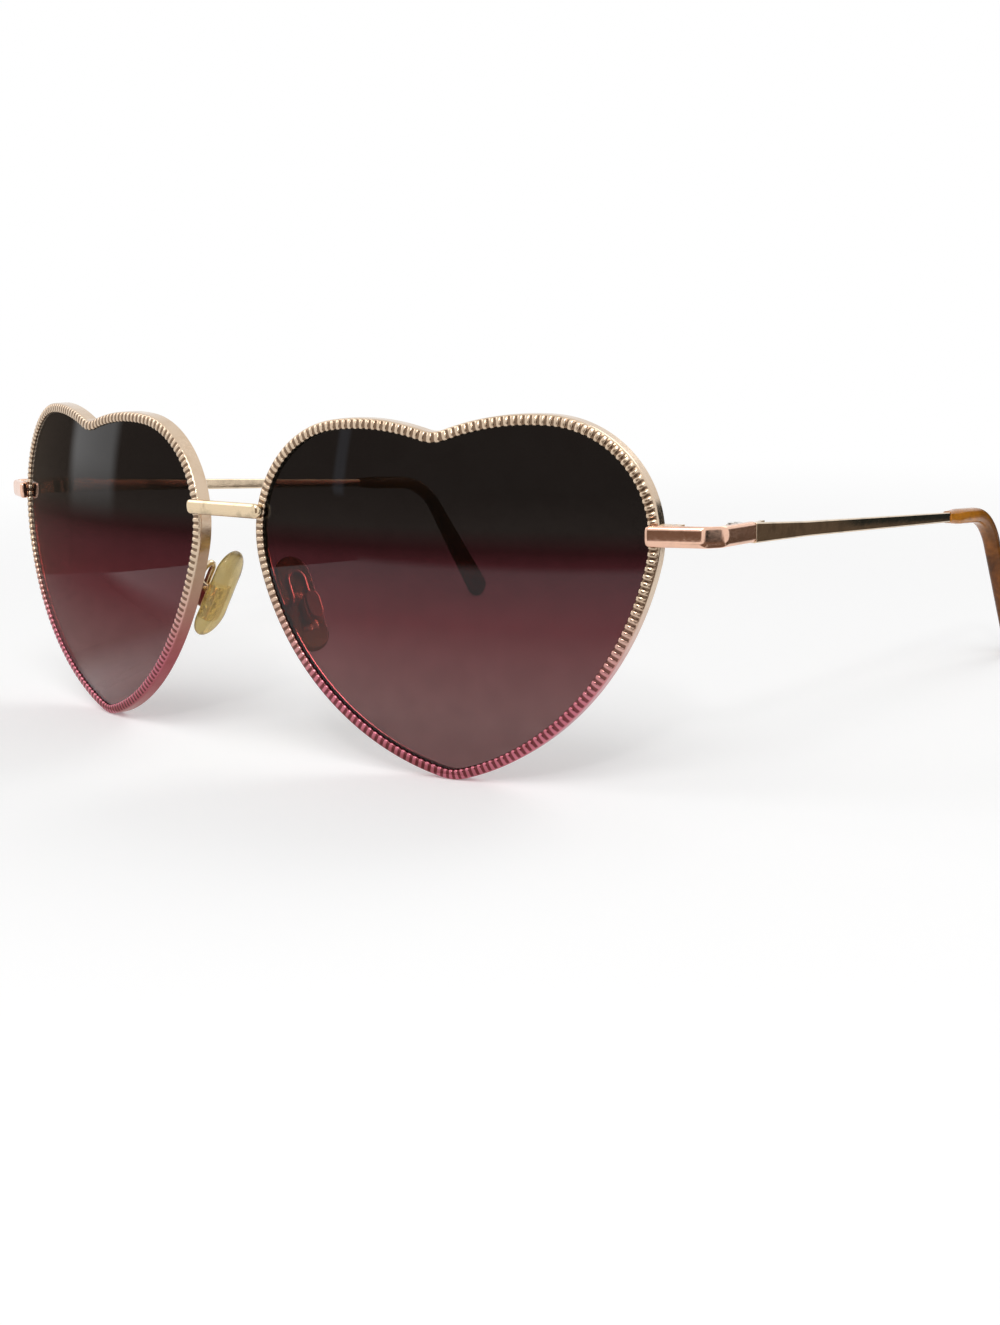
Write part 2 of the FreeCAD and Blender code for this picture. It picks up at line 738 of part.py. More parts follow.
def pad_frame():
    """Placement of the left nose pad: Z faces the nose, Y runs up the pad, X points forward."""
    splay = math.radians(size("pad_splay"))
    lean = math.radians(size("pad_lean"))
    inward = Vector(-math.cos(splay), math.sin(splay), 0)
    face = inward * math.cos(lean) - UP * math.sin(lean)
    tall = UP * math.cos(lean) + inward * math.sin(lean)
    edge = rim_edge(-size("pad_drop"))
    x, y = from_lens(-edge, sag(edge, "pad_drop"))
    rotation = Rotation(tall.cross(face), tall, face, "ZYX")
    return place(size(x) - size("pad_inward"), size(y) + size("pad_back"), -size("pad_drop"), rotation)


def make_nose_pad(pad_at):
    """Egg-shaped pad, the hard stem set in its back, and the screw that the stem rocks on."""
    body = new_body("nose_pad_body", pad_at)
    sketch = body_sketch(body, "face", "XY_Plane")
    top = "(pad_length / 2 - pad_top_radius)"
    low = "(pad_low_radius - pad_length / 2)"
    tilt = f"asin((pad_low_radius - pad_top_radius) / ({top} - {low}))"
    corners = []
    for sign, radius, level, clockwise in (
        ("", "pad_top_radius", top, False),
        ("-", "pad_top_radius", top, None),
        ("-", "pad_low_radius", low, False),
        ("", "pad_low_radius", low, None),
    ):
        point = (f"{sign}{radius} * cos({tilt})", f"{level} + {radius} * sin({tilt})")
        corners.append(point if clockwise is None else (*point, ("0", level, clockwise)))
    outline(sketch, corners)
    pad(body, sketch, "pad_thickness")
    chamfer(body, [UP], "pad_edge")
    chamfer(body, [-UP], "pad_back_edge")
    recess = body_sketch(body, "recess", "XY_Plane", "-pad_thickness / 2")
    wide = "(foot_width / 2 + foot_clearance)"
    tall = "(foot_length / 2 + foot_clearance)"
    rectangle(recess, f"-{wide}", wide, f"-stem_drop - {tall}", f"{tall} - stem_drop")
    pocket(body, recess, "foot_depth + foot_clearance", "One side", True)
    keep_pair("nose_pad", body)

    pivot = "(pad_thickness / 2 + pad_pivot)"
    stem = new_body("pad_stem_body", pad_at)
    foot = body_sketch(stem, "foot", "XY_Plane", "-pad_thickness / 2")
    rectangle(foot, "-foot_width / 2", "foot_width / 2",
              "-stem_drop - foot_length / 2", "foot_length / 2 - stem_drop")
    pad(stem, foot, "foot_depth", "One side")
    tab = body_sketch(stem, "tab", "XY_Plane", f"-{pivot} - tab_end")
    rectangle(tab, "-tab_thickness / 2", "tab_thickness / 2",
              "-stem_drop - tab_length / 2", "tab_length / 2 - stem_drop")
    pad(stem, tab, "pad_pivot + tab_end", "One side")
    eye = body_sketch(stem, "eye", "YZ_Plane")
    disc(eye, "pad_screw_diameter + 2 * screw_clearance", "-stem_drop", f"-{pivot}")
    pocket(stem, eye, "2 * tab_thickness")
    keep_pair("pad_stem", stem)

    holder = new_body("pad_box_body", pad_at)
    mouth = "(-pad_thickness / 2 - box_gap)"
    rim = body_sketch(holder, "rim", "XY_Plane", f"{mouth} - box_depth")
    octagon(rim, "box_width", "box_length", "box_corner", "-stem_drop")
    pad(holder, rim, "box_depth", "One side")
    well = body_sketch(holder, "well", "XY_Plane", mouth)
    octagon(well, "box_inner_width", "box_inner_length", "box_inner_corner", "-stem_drop")
    pocket(holder, well, "box_depth - box_floor", "One side")
    eye = body_sketch(holder, "eye", "YZ_Plane")
    disc(eye, "pad_screw_diameter + 2 * screw_clearance", "-stem_drop", f"-{pivot}")
    pocket(holder, eye, "2 * box_width")
    keep_pair("pad_box", holder)

    along = pad_at * Placement(Vector(0, -size("stem_drop"), -size(pivot)), turned(BACK, 90))
    screw = screw_body("pad_screw_turned", along, "pad_screw", "-box_width / 2", "box_width / 2", -1)
    keep_pair("pad_screw", screw)
    return holder


def make_pad_arm(ring, holder, pad_at):
    """Wire that leaves the rim's back, rises beside the pad and loops over to the top of its box."""
    middle = "-pad_thickness / 2 - box_gap - box_depth / 2"
    foot_at = pad_at * Placement(Vector(size("2 * arm_bend"), -size("arm_foot"), size(middle)), Rotation())
    body = new_body("pad_arm_body", foot_at)
    path = body_sketch(body, "path", "XY_Plane")
    shoulder = "arm_foot + arm_top - arm_bend"
    end = "arm_foot + box_length / 2 - stem_drop - arm_sink"
    rise = path.addGeometry(Part.LineSegment(Vector(), Vector(0, size(shoulder), 0)))
    loop = add_arc(path, (-size("arm_bend"), size(shoulder)), size("arm_bend"), 0, math.pi)
    across = -size("2 * arm_bend")
    fall = path.addGeometry(Part.LineSegment(Vector(across, size(shoulder), 0), Vector(across, size(end), 0)))
    path.addConstraint(Sketcher.Constraint("Coincident", rise, 2, loop, 1))
    path.addConstraint(Sketcher.Constraint("Coincident", loop, 2, fall, 1))
    pin(path, rise, 1, "0", "0")
    pin(path, rise, 2, "0", shoulder)
    pin(path, fall, 1, "-2 * arm_bend", shoulder)
    pin(path, fall, 2, "-2 * arm_bend", end)
    dimension(path, "DistanceY", (-1, 1, loop, 3), shoulder)
    section = body_sketch(body, "section", "XZ_Plane")
    octagon(section, "arm_diameter", "arm_diameter", "arm_diameter * (1 - sqrt(0.5))")
    pipe = body.newObject("PartDesign::AdditivePipe", "pad_arm_wire")
    pipe.Profile = section
    pipe.Spine = (path, [])

    edge = rim_edge(-size("arm_drop")) - size("rim_width / 2")
    x, y = from_lens(-edge, f"{sag(edge, 'arm_drop')} + rim_depth")
    root = Vector(size(x), size(y), -size("arm_drop")) + SHIFT
    lead = root - foot_at.Base
    run = Placement(foot_at.Base, Rotation(UP, lead))
    neck = rod("pad_arm_neck", run, "arm_diameter", "-arm_root", f"{lead.Length} + arm_root")
    wire = doc.addObject("Part::MultiFuse", "pad_arm_fused")
    wire.Shapes = [cut("pad_arm_end", body, holder), cut("pad_arm_root", neck, ring)]
    keep_pair("pad_arm", wire)


def check_all():
    """Stop if any feature failed or any piece is not one valid solid."""
    doc.recompute()
    for item in doc.Objects:
        if "Invalid" in item.State or "Error" in item.State:
            raise RuntimeError(f"{item.Label} failed: {item.State}")
    for name, item in pieces.items():
        shape = item.Shape
        if shape.isNull() or not shape.isValid():
            raise RuntimeError(f"{name} has no valid shape")
        if len(shape.Solids) != 1:
            raise RuntimeError(f"{name} has {len(shape.Solids)} solids")


def export_all():
    os.makedirs("parts", exist_ok=True)
    for name, item in pieces.items():
        item.Shape.exportStep(f"parts/{name}.step")


ring = make_rim_and_lens()
make_bridge(ring)
end_piece = make_end_piece(ring)
make_closing_block(ring, end_piece)
make_hinge()
make_temple()
pad_at = pad_frame()
holder = make_nose_pad(pad_at)
make_pad_arm(ring, holder, pad_at)
check_all()
export_all()
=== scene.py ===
"""Heart-shaped metal sunglasses: the finished surfaces, colours and studio around the packed frame."""

import json
import math

import bmesh
import bpy
import numpy as np
from bpy.props import FloatProperty, FloatVectorProperty, IntProperty, PointerProperty
from mathutils import Matrix, Vector


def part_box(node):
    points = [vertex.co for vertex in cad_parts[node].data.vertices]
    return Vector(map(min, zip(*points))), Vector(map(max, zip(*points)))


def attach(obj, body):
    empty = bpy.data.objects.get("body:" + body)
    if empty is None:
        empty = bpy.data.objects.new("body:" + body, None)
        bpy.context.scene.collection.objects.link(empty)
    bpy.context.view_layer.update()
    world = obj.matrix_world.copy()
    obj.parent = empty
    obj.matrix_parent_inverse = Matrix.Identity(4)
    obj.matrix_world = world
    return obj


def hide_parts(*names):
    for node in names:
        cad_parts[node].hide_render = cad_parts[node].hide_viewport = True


bl_info = {
    "name": "Heart Sunglasses",
    "version": (1, 0, 0),
    "blender": (4, 5, 0),
    "location": "3D View > Sidebar > Sunglasses",
    "description": "Finished pieces, colours and studio for a pair of heart-shaped sunglasses",
    "category": "Object",
}

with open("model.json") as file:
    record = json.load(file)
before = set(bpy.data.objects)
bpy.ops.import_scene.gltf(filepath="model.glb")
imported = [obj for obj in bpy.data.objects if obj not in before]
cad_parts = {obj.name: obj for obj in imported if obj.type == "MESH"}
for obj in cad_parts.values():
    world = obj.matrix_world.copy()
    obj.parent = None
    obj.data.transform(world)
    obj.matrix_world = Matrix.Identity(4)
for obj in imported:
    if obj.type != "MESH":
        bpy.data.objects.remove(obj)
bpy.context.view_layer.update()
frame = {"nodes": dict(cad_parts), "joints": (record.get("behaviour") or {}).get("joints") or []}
HINGE = np.array(next(j["pos_m"] for j in frame["joints"] if j["name"] == "temple_left_fold"))
PAD_JOINT = next(j for j in frame["joints"] if j["name"] == "nose_pad_left_rock")
MM = 0.001
SIDES = (("left", 1.0), ("right", -1.0))

# Meshes: points merged, edges dropped as flat, and turns shaded as sharp
MERGE_DISTANCE = 2e-7
FLAT_EDGE = 1e-8
SOFT_TURN = math.radians(40)
COINED_TURN = math.radians(50)
SCREW_TURN = math.radians(30)
# Small round at the ends of the end pieces and temples, where they meet at the hinge
END_ROUND = 0.06 * MM
# Pieces that keep the frame's shape: points joined, edges rounded from this turn on, and by how much
JOIN_DISTANCE = 1e-6
EDGE_TURN = math.radians(35)
HINGE_EDGE = 0.04 * MM
STEM_EDGE = 0.08 * MM
# Height in metres of the fine grain of the metals
GRAIN_HEIGHT = 0.000012
# Studio: strengths of the soft light and the floor's own glow; where the floor fades into white and
# half its side, in metres; and the width of the camera's sensor in millimetres
SOFT_LIGHT = 0.45
FLOOR_GLOW = 0.22
FLOOR_FADE = (0.1, 0.42)
FLOOR_HALF = 4
SENSOR_WIDTH = 36.0


def length(name, description, millimetres):
    """A property that holds a length, given here in millimetres."""
    return FloatProperty(
        name=name, description=description, default=millimetres * MM, unit="LENGTH", precision=5
    )


def angle(name, description, degrees):
    """A property that holds an angle, given here in degrees."""
    return FloatProperty(
        name=name, description=description, default=math.radians(degrees), subtype="ANGLE"
    )


def colour(name, description, red, green, blue):
    """A property that holds a linear colour."""
    return FloatVectorProperty(
        name=name, description=description, default=(red, green, blue), subtype="COLOR", min=0, max=1
    )


class HeartSizes(bpy.types.PropertyGroup):
    """Outline, dish and section of the hearts, as in the frame."""

    lobe_offset: length("Lobe offset", "Lobe centre from the heart's axis", 14.55)
    lobe_height: length("Lobe height", "Lobe centre above the heart's middle", 8.2)
    lobe_radius: length("Lobe radius", "Outer radius of the lobes", 15.45)
    crown_offset: length("Crown offset", "Crown arc's centre from the heart's axis", 12.45)
    crown_radius: length("Crown radius", "Outer radius of the crown arcs", 36.4)
    notch_radius: length("Notch radius", "Radius of the dip between the lobes", 5.0)
    side_radius: length("Side radius", "Outer radius of the long sides", 39.3)
    point_drop: length("Point drop", "Point arc's centre below the heart's middle", 17.4)
    point_radius: length("Point radius", "Outer radius of the bottom point", 6.7)
    lens_offset: length("Lens offset", "Heart's middle from the bridge", 36.22)
    wrap_angle: angle("Wrap", "Turn of each heart about the upright axis", 12.6)
    heart_turn: angle("Heart turn", "Turn of each heart in its own plane", 1.36)
    front_radius: length("Dish radius", "Sphere radius of the rim's front", 120.4)
    lens_recess: length("Lens recess", "Lens front behind the rim's front", 0.45)
    lens_thickness: length("Lens thickness", "Thickness of the lens", 1.3)
    lens_inset: length("Lens inset", "Lens edge inside the rim's outer edge", 1.02)
    root_level: length("Split level", "Level of the rim's split at the end piece", 9.35)
    split_gap: length("Split gap", "Width of the rim's split", 0.2)
    ridge_count: IntProperty(name="Ridges", description="Coined ridges round each rim", default=175, min=24)
    ridge_depth: length("Ridge depth", "Depth of the coined grooves", 0.1)
    rim_width: length("Rim width", "Width of the rim's front", 1.46)
    rim_depth: length("Rim depth", "Depth of the rim", 2.15)


class BarSizes(bpy.types.PropertyGroup):
    """Bridge, end piece, hinge, temple and nose pad sizes, as in the frame."""

    bridge_level: length("Bridge level", "Bridge bar above the hearts' middle", 10.7)
    bridge_length: length("Bridge length", "Length of the bridge bar", 15.2)
    bridge_height: length("Bridge height", "Height of the bridge bar", 2.1)
    hinge_x: length("Hinge offset", "Hinge axis from the middle plane", 67.81)
    hinge_depth: length("Hinge depth", "Hinge axis behind the hearts' middle", 22.28)
    hinge_level: length("Hinge level", "Hinge above the hearts' middle", 8.6)
    bar_offset: length("Bar offset", "Temple bar from the hinge axis", 2.3)
    temple_toe: angle("Temple toe", "Inward turn of the temples", 5.38)
    temple_slope: angle("Temple slope", "Downward slope of the temples", 4.79)
    bar_length: length("Bar length", "Length of the bare temple bar", 66.5)
    tip_straight: length("Straight tip", "Tip's length ahead of the bend corner", 17.5)
    bend_radius: length("Bend radius", "Radius of the ear bend", 12.0)
    hook_angle: angle("Hook angle", "Downward angle behind the bend", 58.0)
    tip_height: length("Tip height", "Height of the tip's straight part", 2.4)
    tip_end_radius: length("Tip end radius", "Radius of the tip's round end", 2.3)
    tip_thickness: length("Tip thickness", "Thickness of the tip", 2.6)
    root_thickness: length("Root thickness", "Thickness of the end piece's plate", 1.3)
    root_height: length("Root height", "Height of the end piece at the rim", 2.65)
    root_angle: angle("Root angle", "Plate's turn against the leg", 21.5)
    facet_length: length("Facet length", "Facet between plate and leg, each way", 2.0)
    leg_length: length("Leg length", "Plate's corner ahead of the hinge axis", 9.9)
    joint_gap: length("Joint gap", "Gap between end piece and temple", 0.06)
    bar_thickness: length("Bar thickness", "Thickness of leg and temple", 1.4)
    temple_root_height: length("Temple root height", "Temple height at the hinge", 2.66)
    temple_neck_height: length("Temple neck height", "Temple height behind its flare", 2.05)
    temple_end_height: length("Temple end height", "Temple height at the tip", 1.55)
    temple_flare: length("Temple flare", "Length of the temple's flare", 15.0)
    pad_pivot: length("Pad pivot", "Pad middle from its screw", 2.5)
    pad_lean: angle("Pad lean", "Lean of the pads towards the brow", 28.5)
    pad_length: length("Pad length", "Length of the nose pads", 14.2)
    pad_top_radius: length("Pad top radius", "Upper end radius of the pads", 2.6)
    pad_low_radius: length("Pad low radius", "Lower end radius of the pads", 2.85)
    pad_thickness: length("Pad thickness", "Thickness of the nose pads", 2.4)
    stem_drop: length("Stem drop", "Pad screw below the pad's middle", 1.4)
    arm_drop: length("Arm drop", "Arm's root below the hearts' middle", 3.3)
    arm_diameter: length("Arm diameter", "Pad arm wire", 0.95)
    arm_foot: length("Arm foot", "Arm's corner below the pad's middle", 0.5)
    arm_top: length("Arm top", "Top of the arm's loop above the pad's middle", 3.9)
    arm_bend: length("Arm bend", "Radius of the arm's loop", 1.25)
    box_gap: length("Box gap", "Pad back to pad box", 0.45)
    box_depth: length("Box depth", "Depth of the pad box", 2.25)
    box_width: length("Box width", "Width of the pad box", 2.3)
    box_length: length("Box length", "Length of the pad box", 4.0)


class Finishes(bpy.types.PropertyGroup):
    """Colours of the finishes."""

    rim_gold: colour("Rim gold", "Upper part of the coined rims", 0.68, 0.53, 0.39)
    rim_rose: colour("Rim rose", "Lower part of the coined rims", 0.56, 0.175, 0.225)
    # Painted shade: the colour multiplied into the coined grooves
    rim_groove_shade: colour("Rim grooves", "What is left of the colour in the coined grooves", 0.32, 0.27, 0.24)
    bridge_gold: colour("Bridge gold", "Polished bridge bar", 0.8, 0.63, 0.42)
    end_rose: colour("End piece", "Polished rose gold end pieces", 0.86, 0.54, 0.4)
    temple_gold: colour("Temple gold", "Satin temple bars", 0.72, 0.57, 0.41)
    hinge_gold: colour("Hinge gold", "Hinges, blocks and pad arms", 0.74, 0.58, 0.4)
    screw_steel: colour("Screw steel", "Turned screws", 0.62, 0.59, 0.55)
    lens_top: colour("Lens top", "Tint at the top of the lens", 0.012, 0.0095, 0.0085)
    lens_plum: colour("Lens plum", "Tint just below the dark top", 0.064, 0.014, 0.018)
    lens_middle: colour("Lens middle", "Tint across the middle of the lens", 0.109, 0.02, 0.0245)
    lens_bottom: colour("Lens bottom", "Tint at the bottom of the lens", 0.2, 0.1, 0.098)
    stem_gold: colour("Stem gold", "Bright stems inside the pads", 0.92, 0.8, 0.5)
    tip_amber: colour("Tip amber", "Light patches of the tips", 0.62, 0.23, 0.012)
    tip_brown: colour("Tip brown", "Dark patches of the tips", 0.22, 0.07, 0.012)
    pad_yellow: colour("Pad yellow", "Soft nose pads", 0.66, 0.52, 0.22)


class StageSizes(bpy.types.PropertyGroup):
    """Camera and floor."""

    camera_x: length("Camera X", "Camera to the side", 191.99)
    camera_y: length("Camera Y", "Camera in front", -230.23)
    camera_z: length("Camera Z", "Camera height", 62.23)
    azimuth: angle("Azimuth", "Camera's turn about the upright axis", 40.3)
    pitch: angle("Pitch", "Camera's downward look", 11.3)
    roll: FloatProperty(name="Roll", description="Camera's roll", default=-0.0288, subtype="ANGLE")
    focal: FloatProperty(
        name="Focal length", description="Camera lens in millimetres", default=49.34, unit="CAMERA"
    )
    floor: colour("Floor", "Pale floor", 0.86, 0.86, 0.86)


def heart_arcs(sizes):
    """Eight arcs of the rim's outer edge, counter-clockwise from the foot of the temple side.

    Side, lobe, crown, notch, crown, lobe, side and point. Neighbours are tangent, so each centre
    follows from the two circles that it touches. An arc is (centre, radius, first angle, sweep);
    the notch is swept backwards about a centre outside the heart.
    """
    lobe = np.array((sizes.lobe_offset, sizes.lobe_height))
    point = np.array((0.0, -sizes.point_drop))
    rise = math.sqrt((sizes.crown_radius - sizes.lobe_radius) ** 2 - (lobe[0] - sizes.crown_offset) ** 2)
    crown = np.array((sizes.crown_offset, lobe[1] - rise))
    reach = math.sqrt((sizes.crown_radius + sizes.notch_radius) ** 2 - crown[0] ** 2)
    notch = np.array((0.0, crown[1] + reach))
    to_lobe = sizes.side_radius - sizes.lobe_radius
    to_point = sizes.side_radius - sizes.point_radius
    span = float(np.linalg.norm(point - lobe))
    along = (to_lobe ** 2 - to_point ** 2 + span ** 2) / (2 * span)
    step = (point - lobe) / span
    side = lobe + along * step + math.sqrt(to_lobe ** 2 - along ** 2) * np.array((step[1], -step[0]))

    def towards(a, b):
        return math.atan2(b[1] - a[1], b[0] - a[0])

    right = [
        (side, sizes.side_radius, towards(side, point), towards(side, lobe)),
        (lobe, sizes.lobe_radius, towards(side, lobe), towards(crown, lobe)),
        (crown, sizes.crown_radius, towards(crown, lobe), towards(crown, notch)),
    ]
    arcs = [(centre, radius, first, last - first) for centre, radius, first, last in right]
    fold = towards(notch, crown)
    arcs.append((notch, sizes.notch_radius, fold, -math.pi - 2 * fold))
    flip = np.array((-1.0, 1.0))
    arcs += [(c * flip, r, math.pi - last, last - first) for c, r, first, last in reversed(right)]
    lean = towards(side, point)
    arcs.append((point, sizes.point_radius, -math.pi - lean, math.pi + 2 * lean))
    return arcs


def heart_edge(sizes, travel):
    """Points and outward normals of the heart's outer edge at lengths travelled along it.

    Each length is looked up in the running sum of arc lengths and turned into an angle on its arc.
    Returns points (n, 2), normals (n, 2) and the whole length.
    """
    centre, radius, first, sweep = (np.array(column) for column in zip(*heart_arcs(sizes)))
    runs = radius * np.abs(sweep)
    ends = np.cumsum(runs)
    travel = np.mod(travel, ends[-1])
    index = np.minimum(np.searchsorted(ends, travel, side="right"), len(ends) - 1)
    turn = np.sign(sweep)[index]
    theta = first[index] + turn * (travel - (ends - runs)[index]) / radius[index]
    radial = np.stack((np.cos(theta), np.sin(theta)), axis=-1)
    return centre[index] + radius[index, None] * radial, radial * turn[:, None], ends[-1]


def edge_length(sizes):
    """Whole length of the heart's outer edge."""
    return heart_edge(sizes, np.zeros(1))[2]


def dish(sizes, flat, recess):
    """Lens-frame points of a flat heart point set back on a sphere.

    The sphere has the dish radius less the recess, about a centre one dish radius behind the heart:
    depth = R - sqrt((R - recess)^2 - x^2 - z^2).
    """
    x, z = flat[..., 0], flat[..., 1]
    depth = sizes.front_radius - np.sqrt((sizes.front_radius - recess) ** 2 - x ** 2 - z ** 2)
    return np.stack((x, depth, z), axis=-1)


def front_origin(bars):
    """Row-frame point midway between the hearts, from the hinge that the frame gives."""
    return HINGE - np.array((bars.hinge_x, bars.hinge_depth, bars.hinge_level))


def turned(first, second, turn):
    """Two coordinates turned about the origin, from the first towards the second."""
    cosine, sine = math.cos(turn), math.sin(turn)
    return first * cosine - second * sine, first * sine + second * cosine


def lens_to_row(sizes, bars, points):
    """Left lens frame to row frame: a turn in the heart's plane, the wrap, then the offset."""
    x, z = turned(points[..., 0], points[..., 2], sizes.heart_turn)
    x, y = turned(x, points[..., 1], sizes.wrap_angle)
    return np.stack((x, y, z), axis=-1) + front_origin(bars) + np.array((sizes.lens_offset, 0.0, 0.0))


def hinge_to_row(bars, points):
    """Left hinge frame to row frame: the temples' toe-in about the hinge axis."""
    x, y = turned(points[..., 0], points[..., 1], bars.temple_toe)
    return np.stack((x, y, points[..., 2]), axis=-1) + HINGE


def pad_to_row(bars, points):
    """Left pad frame to row frame: X forward along the pad screw, Y up the pad, Z to the nose."""
    forward = np.array(PAD_JOINT["axis"], float)
    forward *= -np.sign(forward[1]) / np.linalg.norm(forward)
    inward = np.cross((0.0, 0.0, 1.0), forward)
    inward *= -np.sign(inward[0])
    face = inward * math.cos(bars.pad_lean) - np.array((0.0, 0.0, math.sin(bars.pad_lean)))
    tall = np.cross(face, forward)
    tall *= np.sign(tall[2])
    middle = np.array(PAD_JOINT["pos_m"]) + bars.pad_pivot * face + bars.stem_drop * tall
    return points @ np.stack((forward, tall, face)) + middle


def smooth_step(value):
    """Ease from 0 to 1 while the value runs from 0 to 1: 3 t^2 - 2 t^3."""
    value = np.clip(value, 0, 1)
    return value * value * (3 - 2 * value)


def superellipse(count, power):
    """Both coordinates of so many points round |x|^power + |y|^power = 1."""
    phase = np.linspace(0, 2 * math.pi, count, endpoint=False)
    circle = np.stack((np.cos(phase), np.sin(phase)))
    return np.sign(circle) * np.abs(circle) ** (2 / power)


def rounded_ring(wide, tall, corner, points=7):
    """Outlines of round-cornered rectangles, one for each triple of half sizes and corner radius.

    Each corner is a quarter circle about a centre one radius inside both sides.
    """
    quarter = np.linspace(0, math.pi / 2, points)
    turn = np.concatenate([quarter + k * math.pi / 2 for k in range(4)])
    right, top = np.repeat((1, -1, -1, 1), points), np.repeat((1, 1, -1, -1), points)
    wide, tall, corner = (np.atleast_1d(size)[:, None] for size in (wide, tall, corner))
    return right * (wide - corner) + corner * np.cos(turn), top * (tall - corner) + corner * np.sin(turn)


def quarter_round(distance, radius):
    """How far a section draws in at a distance from its end: radius * (1 - sqrt(1 - t^2)), t from 1 to 0."""
    return radius * (1 - np.sqrt(1 - np.clip(1 - distance / radius, 0, 1) ** 2))


def rounded_ends(travel, first, last):
    """How far a bar's section draws in near its two ends, over quarter rounds of the given radii."""
    return quarter_round(travel - travel[0], first) + quarter_round(travel[-1] - travel, last)


def round_end(past, radius):
    """Share of a section left at a distance into its round end: the root of 1 - t^2."""
    return np.sqrt(1 - np.clip(past / radius, 0, 1) ** 2)


def grid_faces(rows, columns, closed_columns=False):
    """Quads of a grid of rows by columns, whose columns wrap round where closed."""
    r = np.arange(rows - 1)
    c = np.arange(columns if closed_columns else columns - 1)
    r, c = (index.ravel() for index in np.meshgrid(r, c, indexing="ij"))
    here, below, right = r * columns, (r + 1) * columns, (c + 1) % columns
    return np.stack((here + c, here + right, below + right, below + c), axis=-1)


def bar_faces(rings, points):
    """Faces of a closed bar: its sides and a face over each end."""
    sides = grid_faces(rings, points, closed_columns=True).tolist()
    return sides + [list(range(points)), list(range((rings - 1) * points, rings * points))]


def shade(mesh, sharp):
    """Shade a mesh smooth, but for edges that turn by more than an angle."""
    mesh.polygons.foreach_set("use_smooth", np.ones(len(mesh.polygons), bool))
    mesh.set_sharp_from_angle(angle=sharp)


def add_piece(name, mesh, material, body, node):
    """Put a finished mesh in the scene on its body, in place of its frame node."""
    mesh.materials.append(material)
    piece = bpy.data.objects.new(name, mesh)
    bpy.context.scene.collection.objects.link(piece)
    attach(piece, body)
    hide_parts(node)
    return piece


def mirrored(points, sign):
    """The points as a list, or their mirror image in the middle plane where the sign is -1."""
    return (points * np.array((sign, 1.0, 1.0))).reshape(-1, 3).tolist()


def add_surface(name, surface, sign, material, body, node, sharp=SOFT_TURN):
    """Make a piece of points and faces, or their mirror image, with doubles merged and faces outward."""
    points, faces = surface
    mesh = bpy.data.meshes.new(name)
    mesh.from_pydata(mirrored(points, sign), [], faces)
    shell = bmesh.new()
    shell.from_mesh(mesh)
    bmesh.ops.remove_doubles(shell, verts=shell.verts, dist=MERGE_DISTANCE)
    bmesh.ops.dissolve_degenerate(shell, dist=FLAT_EDGE, edges=shell.edges)
    bmesh.ops.recalc_face_normals(shell, faces=shell.faces)
    shell.to_mesh(mesh)
    shell.free()
    shade(mesh, sharp)
    return add_piece(name, mesh, material, body, node)


# Rim section: inset from the outer edge, depth behind the front, and the share of the coined depth
# cut there along (inset, depth). The ridges run from a plain outer border over the front to the
# lens's edge. The groove for the lens is the run of points with the same inset.
RIM_SECTION = np.array((
    (0.12, 2.15, 0, 0), (0.0, 2.03, 0, 0), (0.0, 1.95, 0, 0), (0.0, 0.6, 0, 0), (0.0, 0.5, 0, 0),
    (0.015, 0.38, 0, 0), (0.05, 0.27, 0, 0),
    (0.1, 0.19, 0.1, 0.15), (0.17, 0.12, 0.25, 0.6), (0.28, 0.06, 0.15, 0.95), (0.44, 0.02, 0, 1),
    (0.62, 0.0, 0, 1), (0.84, 0.0, 0, 1), (1.04, 0.02, 0, 1), (1.2, 0.07, -0.2, 0.95),
    (1.33, 0.15, -0.55, 0.75), (1.42, 0.26, -0.85, 0.4), (1.46, 0.39, -0.9, 0), (0.96, 0.39, 0, 0),
    (0.96, 1.81, 0, 0), (1.46, 1.81, 0, 0), (1.46, 2.05, 0, 0), (1.36, 2.15, 0, 0),
))


def split_travel(sizes):
    """Length along the outer edge to the middle of the rim's split, on the temple-side lobe."""
    probe = np.linspace(0, 0.1, 20001)
    edge = heart_edge(sizes, probe)[0]
    level = turned(edge[:, 0], edge[:, 1], sizes.heart_turn)[1]
    return float(probe[np.argmax(level > sizes.root_level)])


def rim_surface(sizes, bars):
    """Coined rim: the section carried round the heart from one side of its split to the other.

    At each station the section's inset runs along the heart's inward normal and its depth along the
    dish. The coining is a cosine of the length travelled, put through a smooth step, so crests and
    grooves are flat with steep flanks; it cuts the front by the section's shares of the ridge depth.
    Returns points, faces and the crest height (0 in a groove, 1 on a crest) of each point.
    """
    stations_per_ridge, groove, flank = 12, 0.18, 0.6
    start = split_travel(sizes) + sizes.split_gap / 2
    count = sizes.ridge_count * stations_per_ridge + 1
    travel = np.linspace(0, edge_length(sizes) - sizes.split_gap, count)
    edge, normal, _ = heart_edge(sizes, start + travel)
    wave = 0.5 - 0.5 * np.cos(2 * math.pi * sizes.ridge_count * travel / travel[-1])
    sunk = (1 - smooth_step((wave - groove) / flank))[:, None]
    inset, depth, cut_inset, cut_depth = RIM_SECTION.T
    inset = inset * MM + sizes.ridge_depth * sunk * cut_inset
    depth = depth * MM + sizes.ridge_depth * sunk * cut_depth
    flat = edge[:, None, :] - inset[..., None] * normal[:, None, :]
    points = lens_to_row(sizes, bars, dish(sizes, flat, depth))
    columns = len(RIM_SECTION)
    faces = grid_faces(count, columns, closed_columns=True)[:, ::-1].tolist()
    faces += [list(range(columns)), list(range((count - 1) * columns, count * columns))[::-1]]
    return points, faces, 1 - sunk * np.clip(np.abs(cut_inset) + cut_depth, 0, 1)


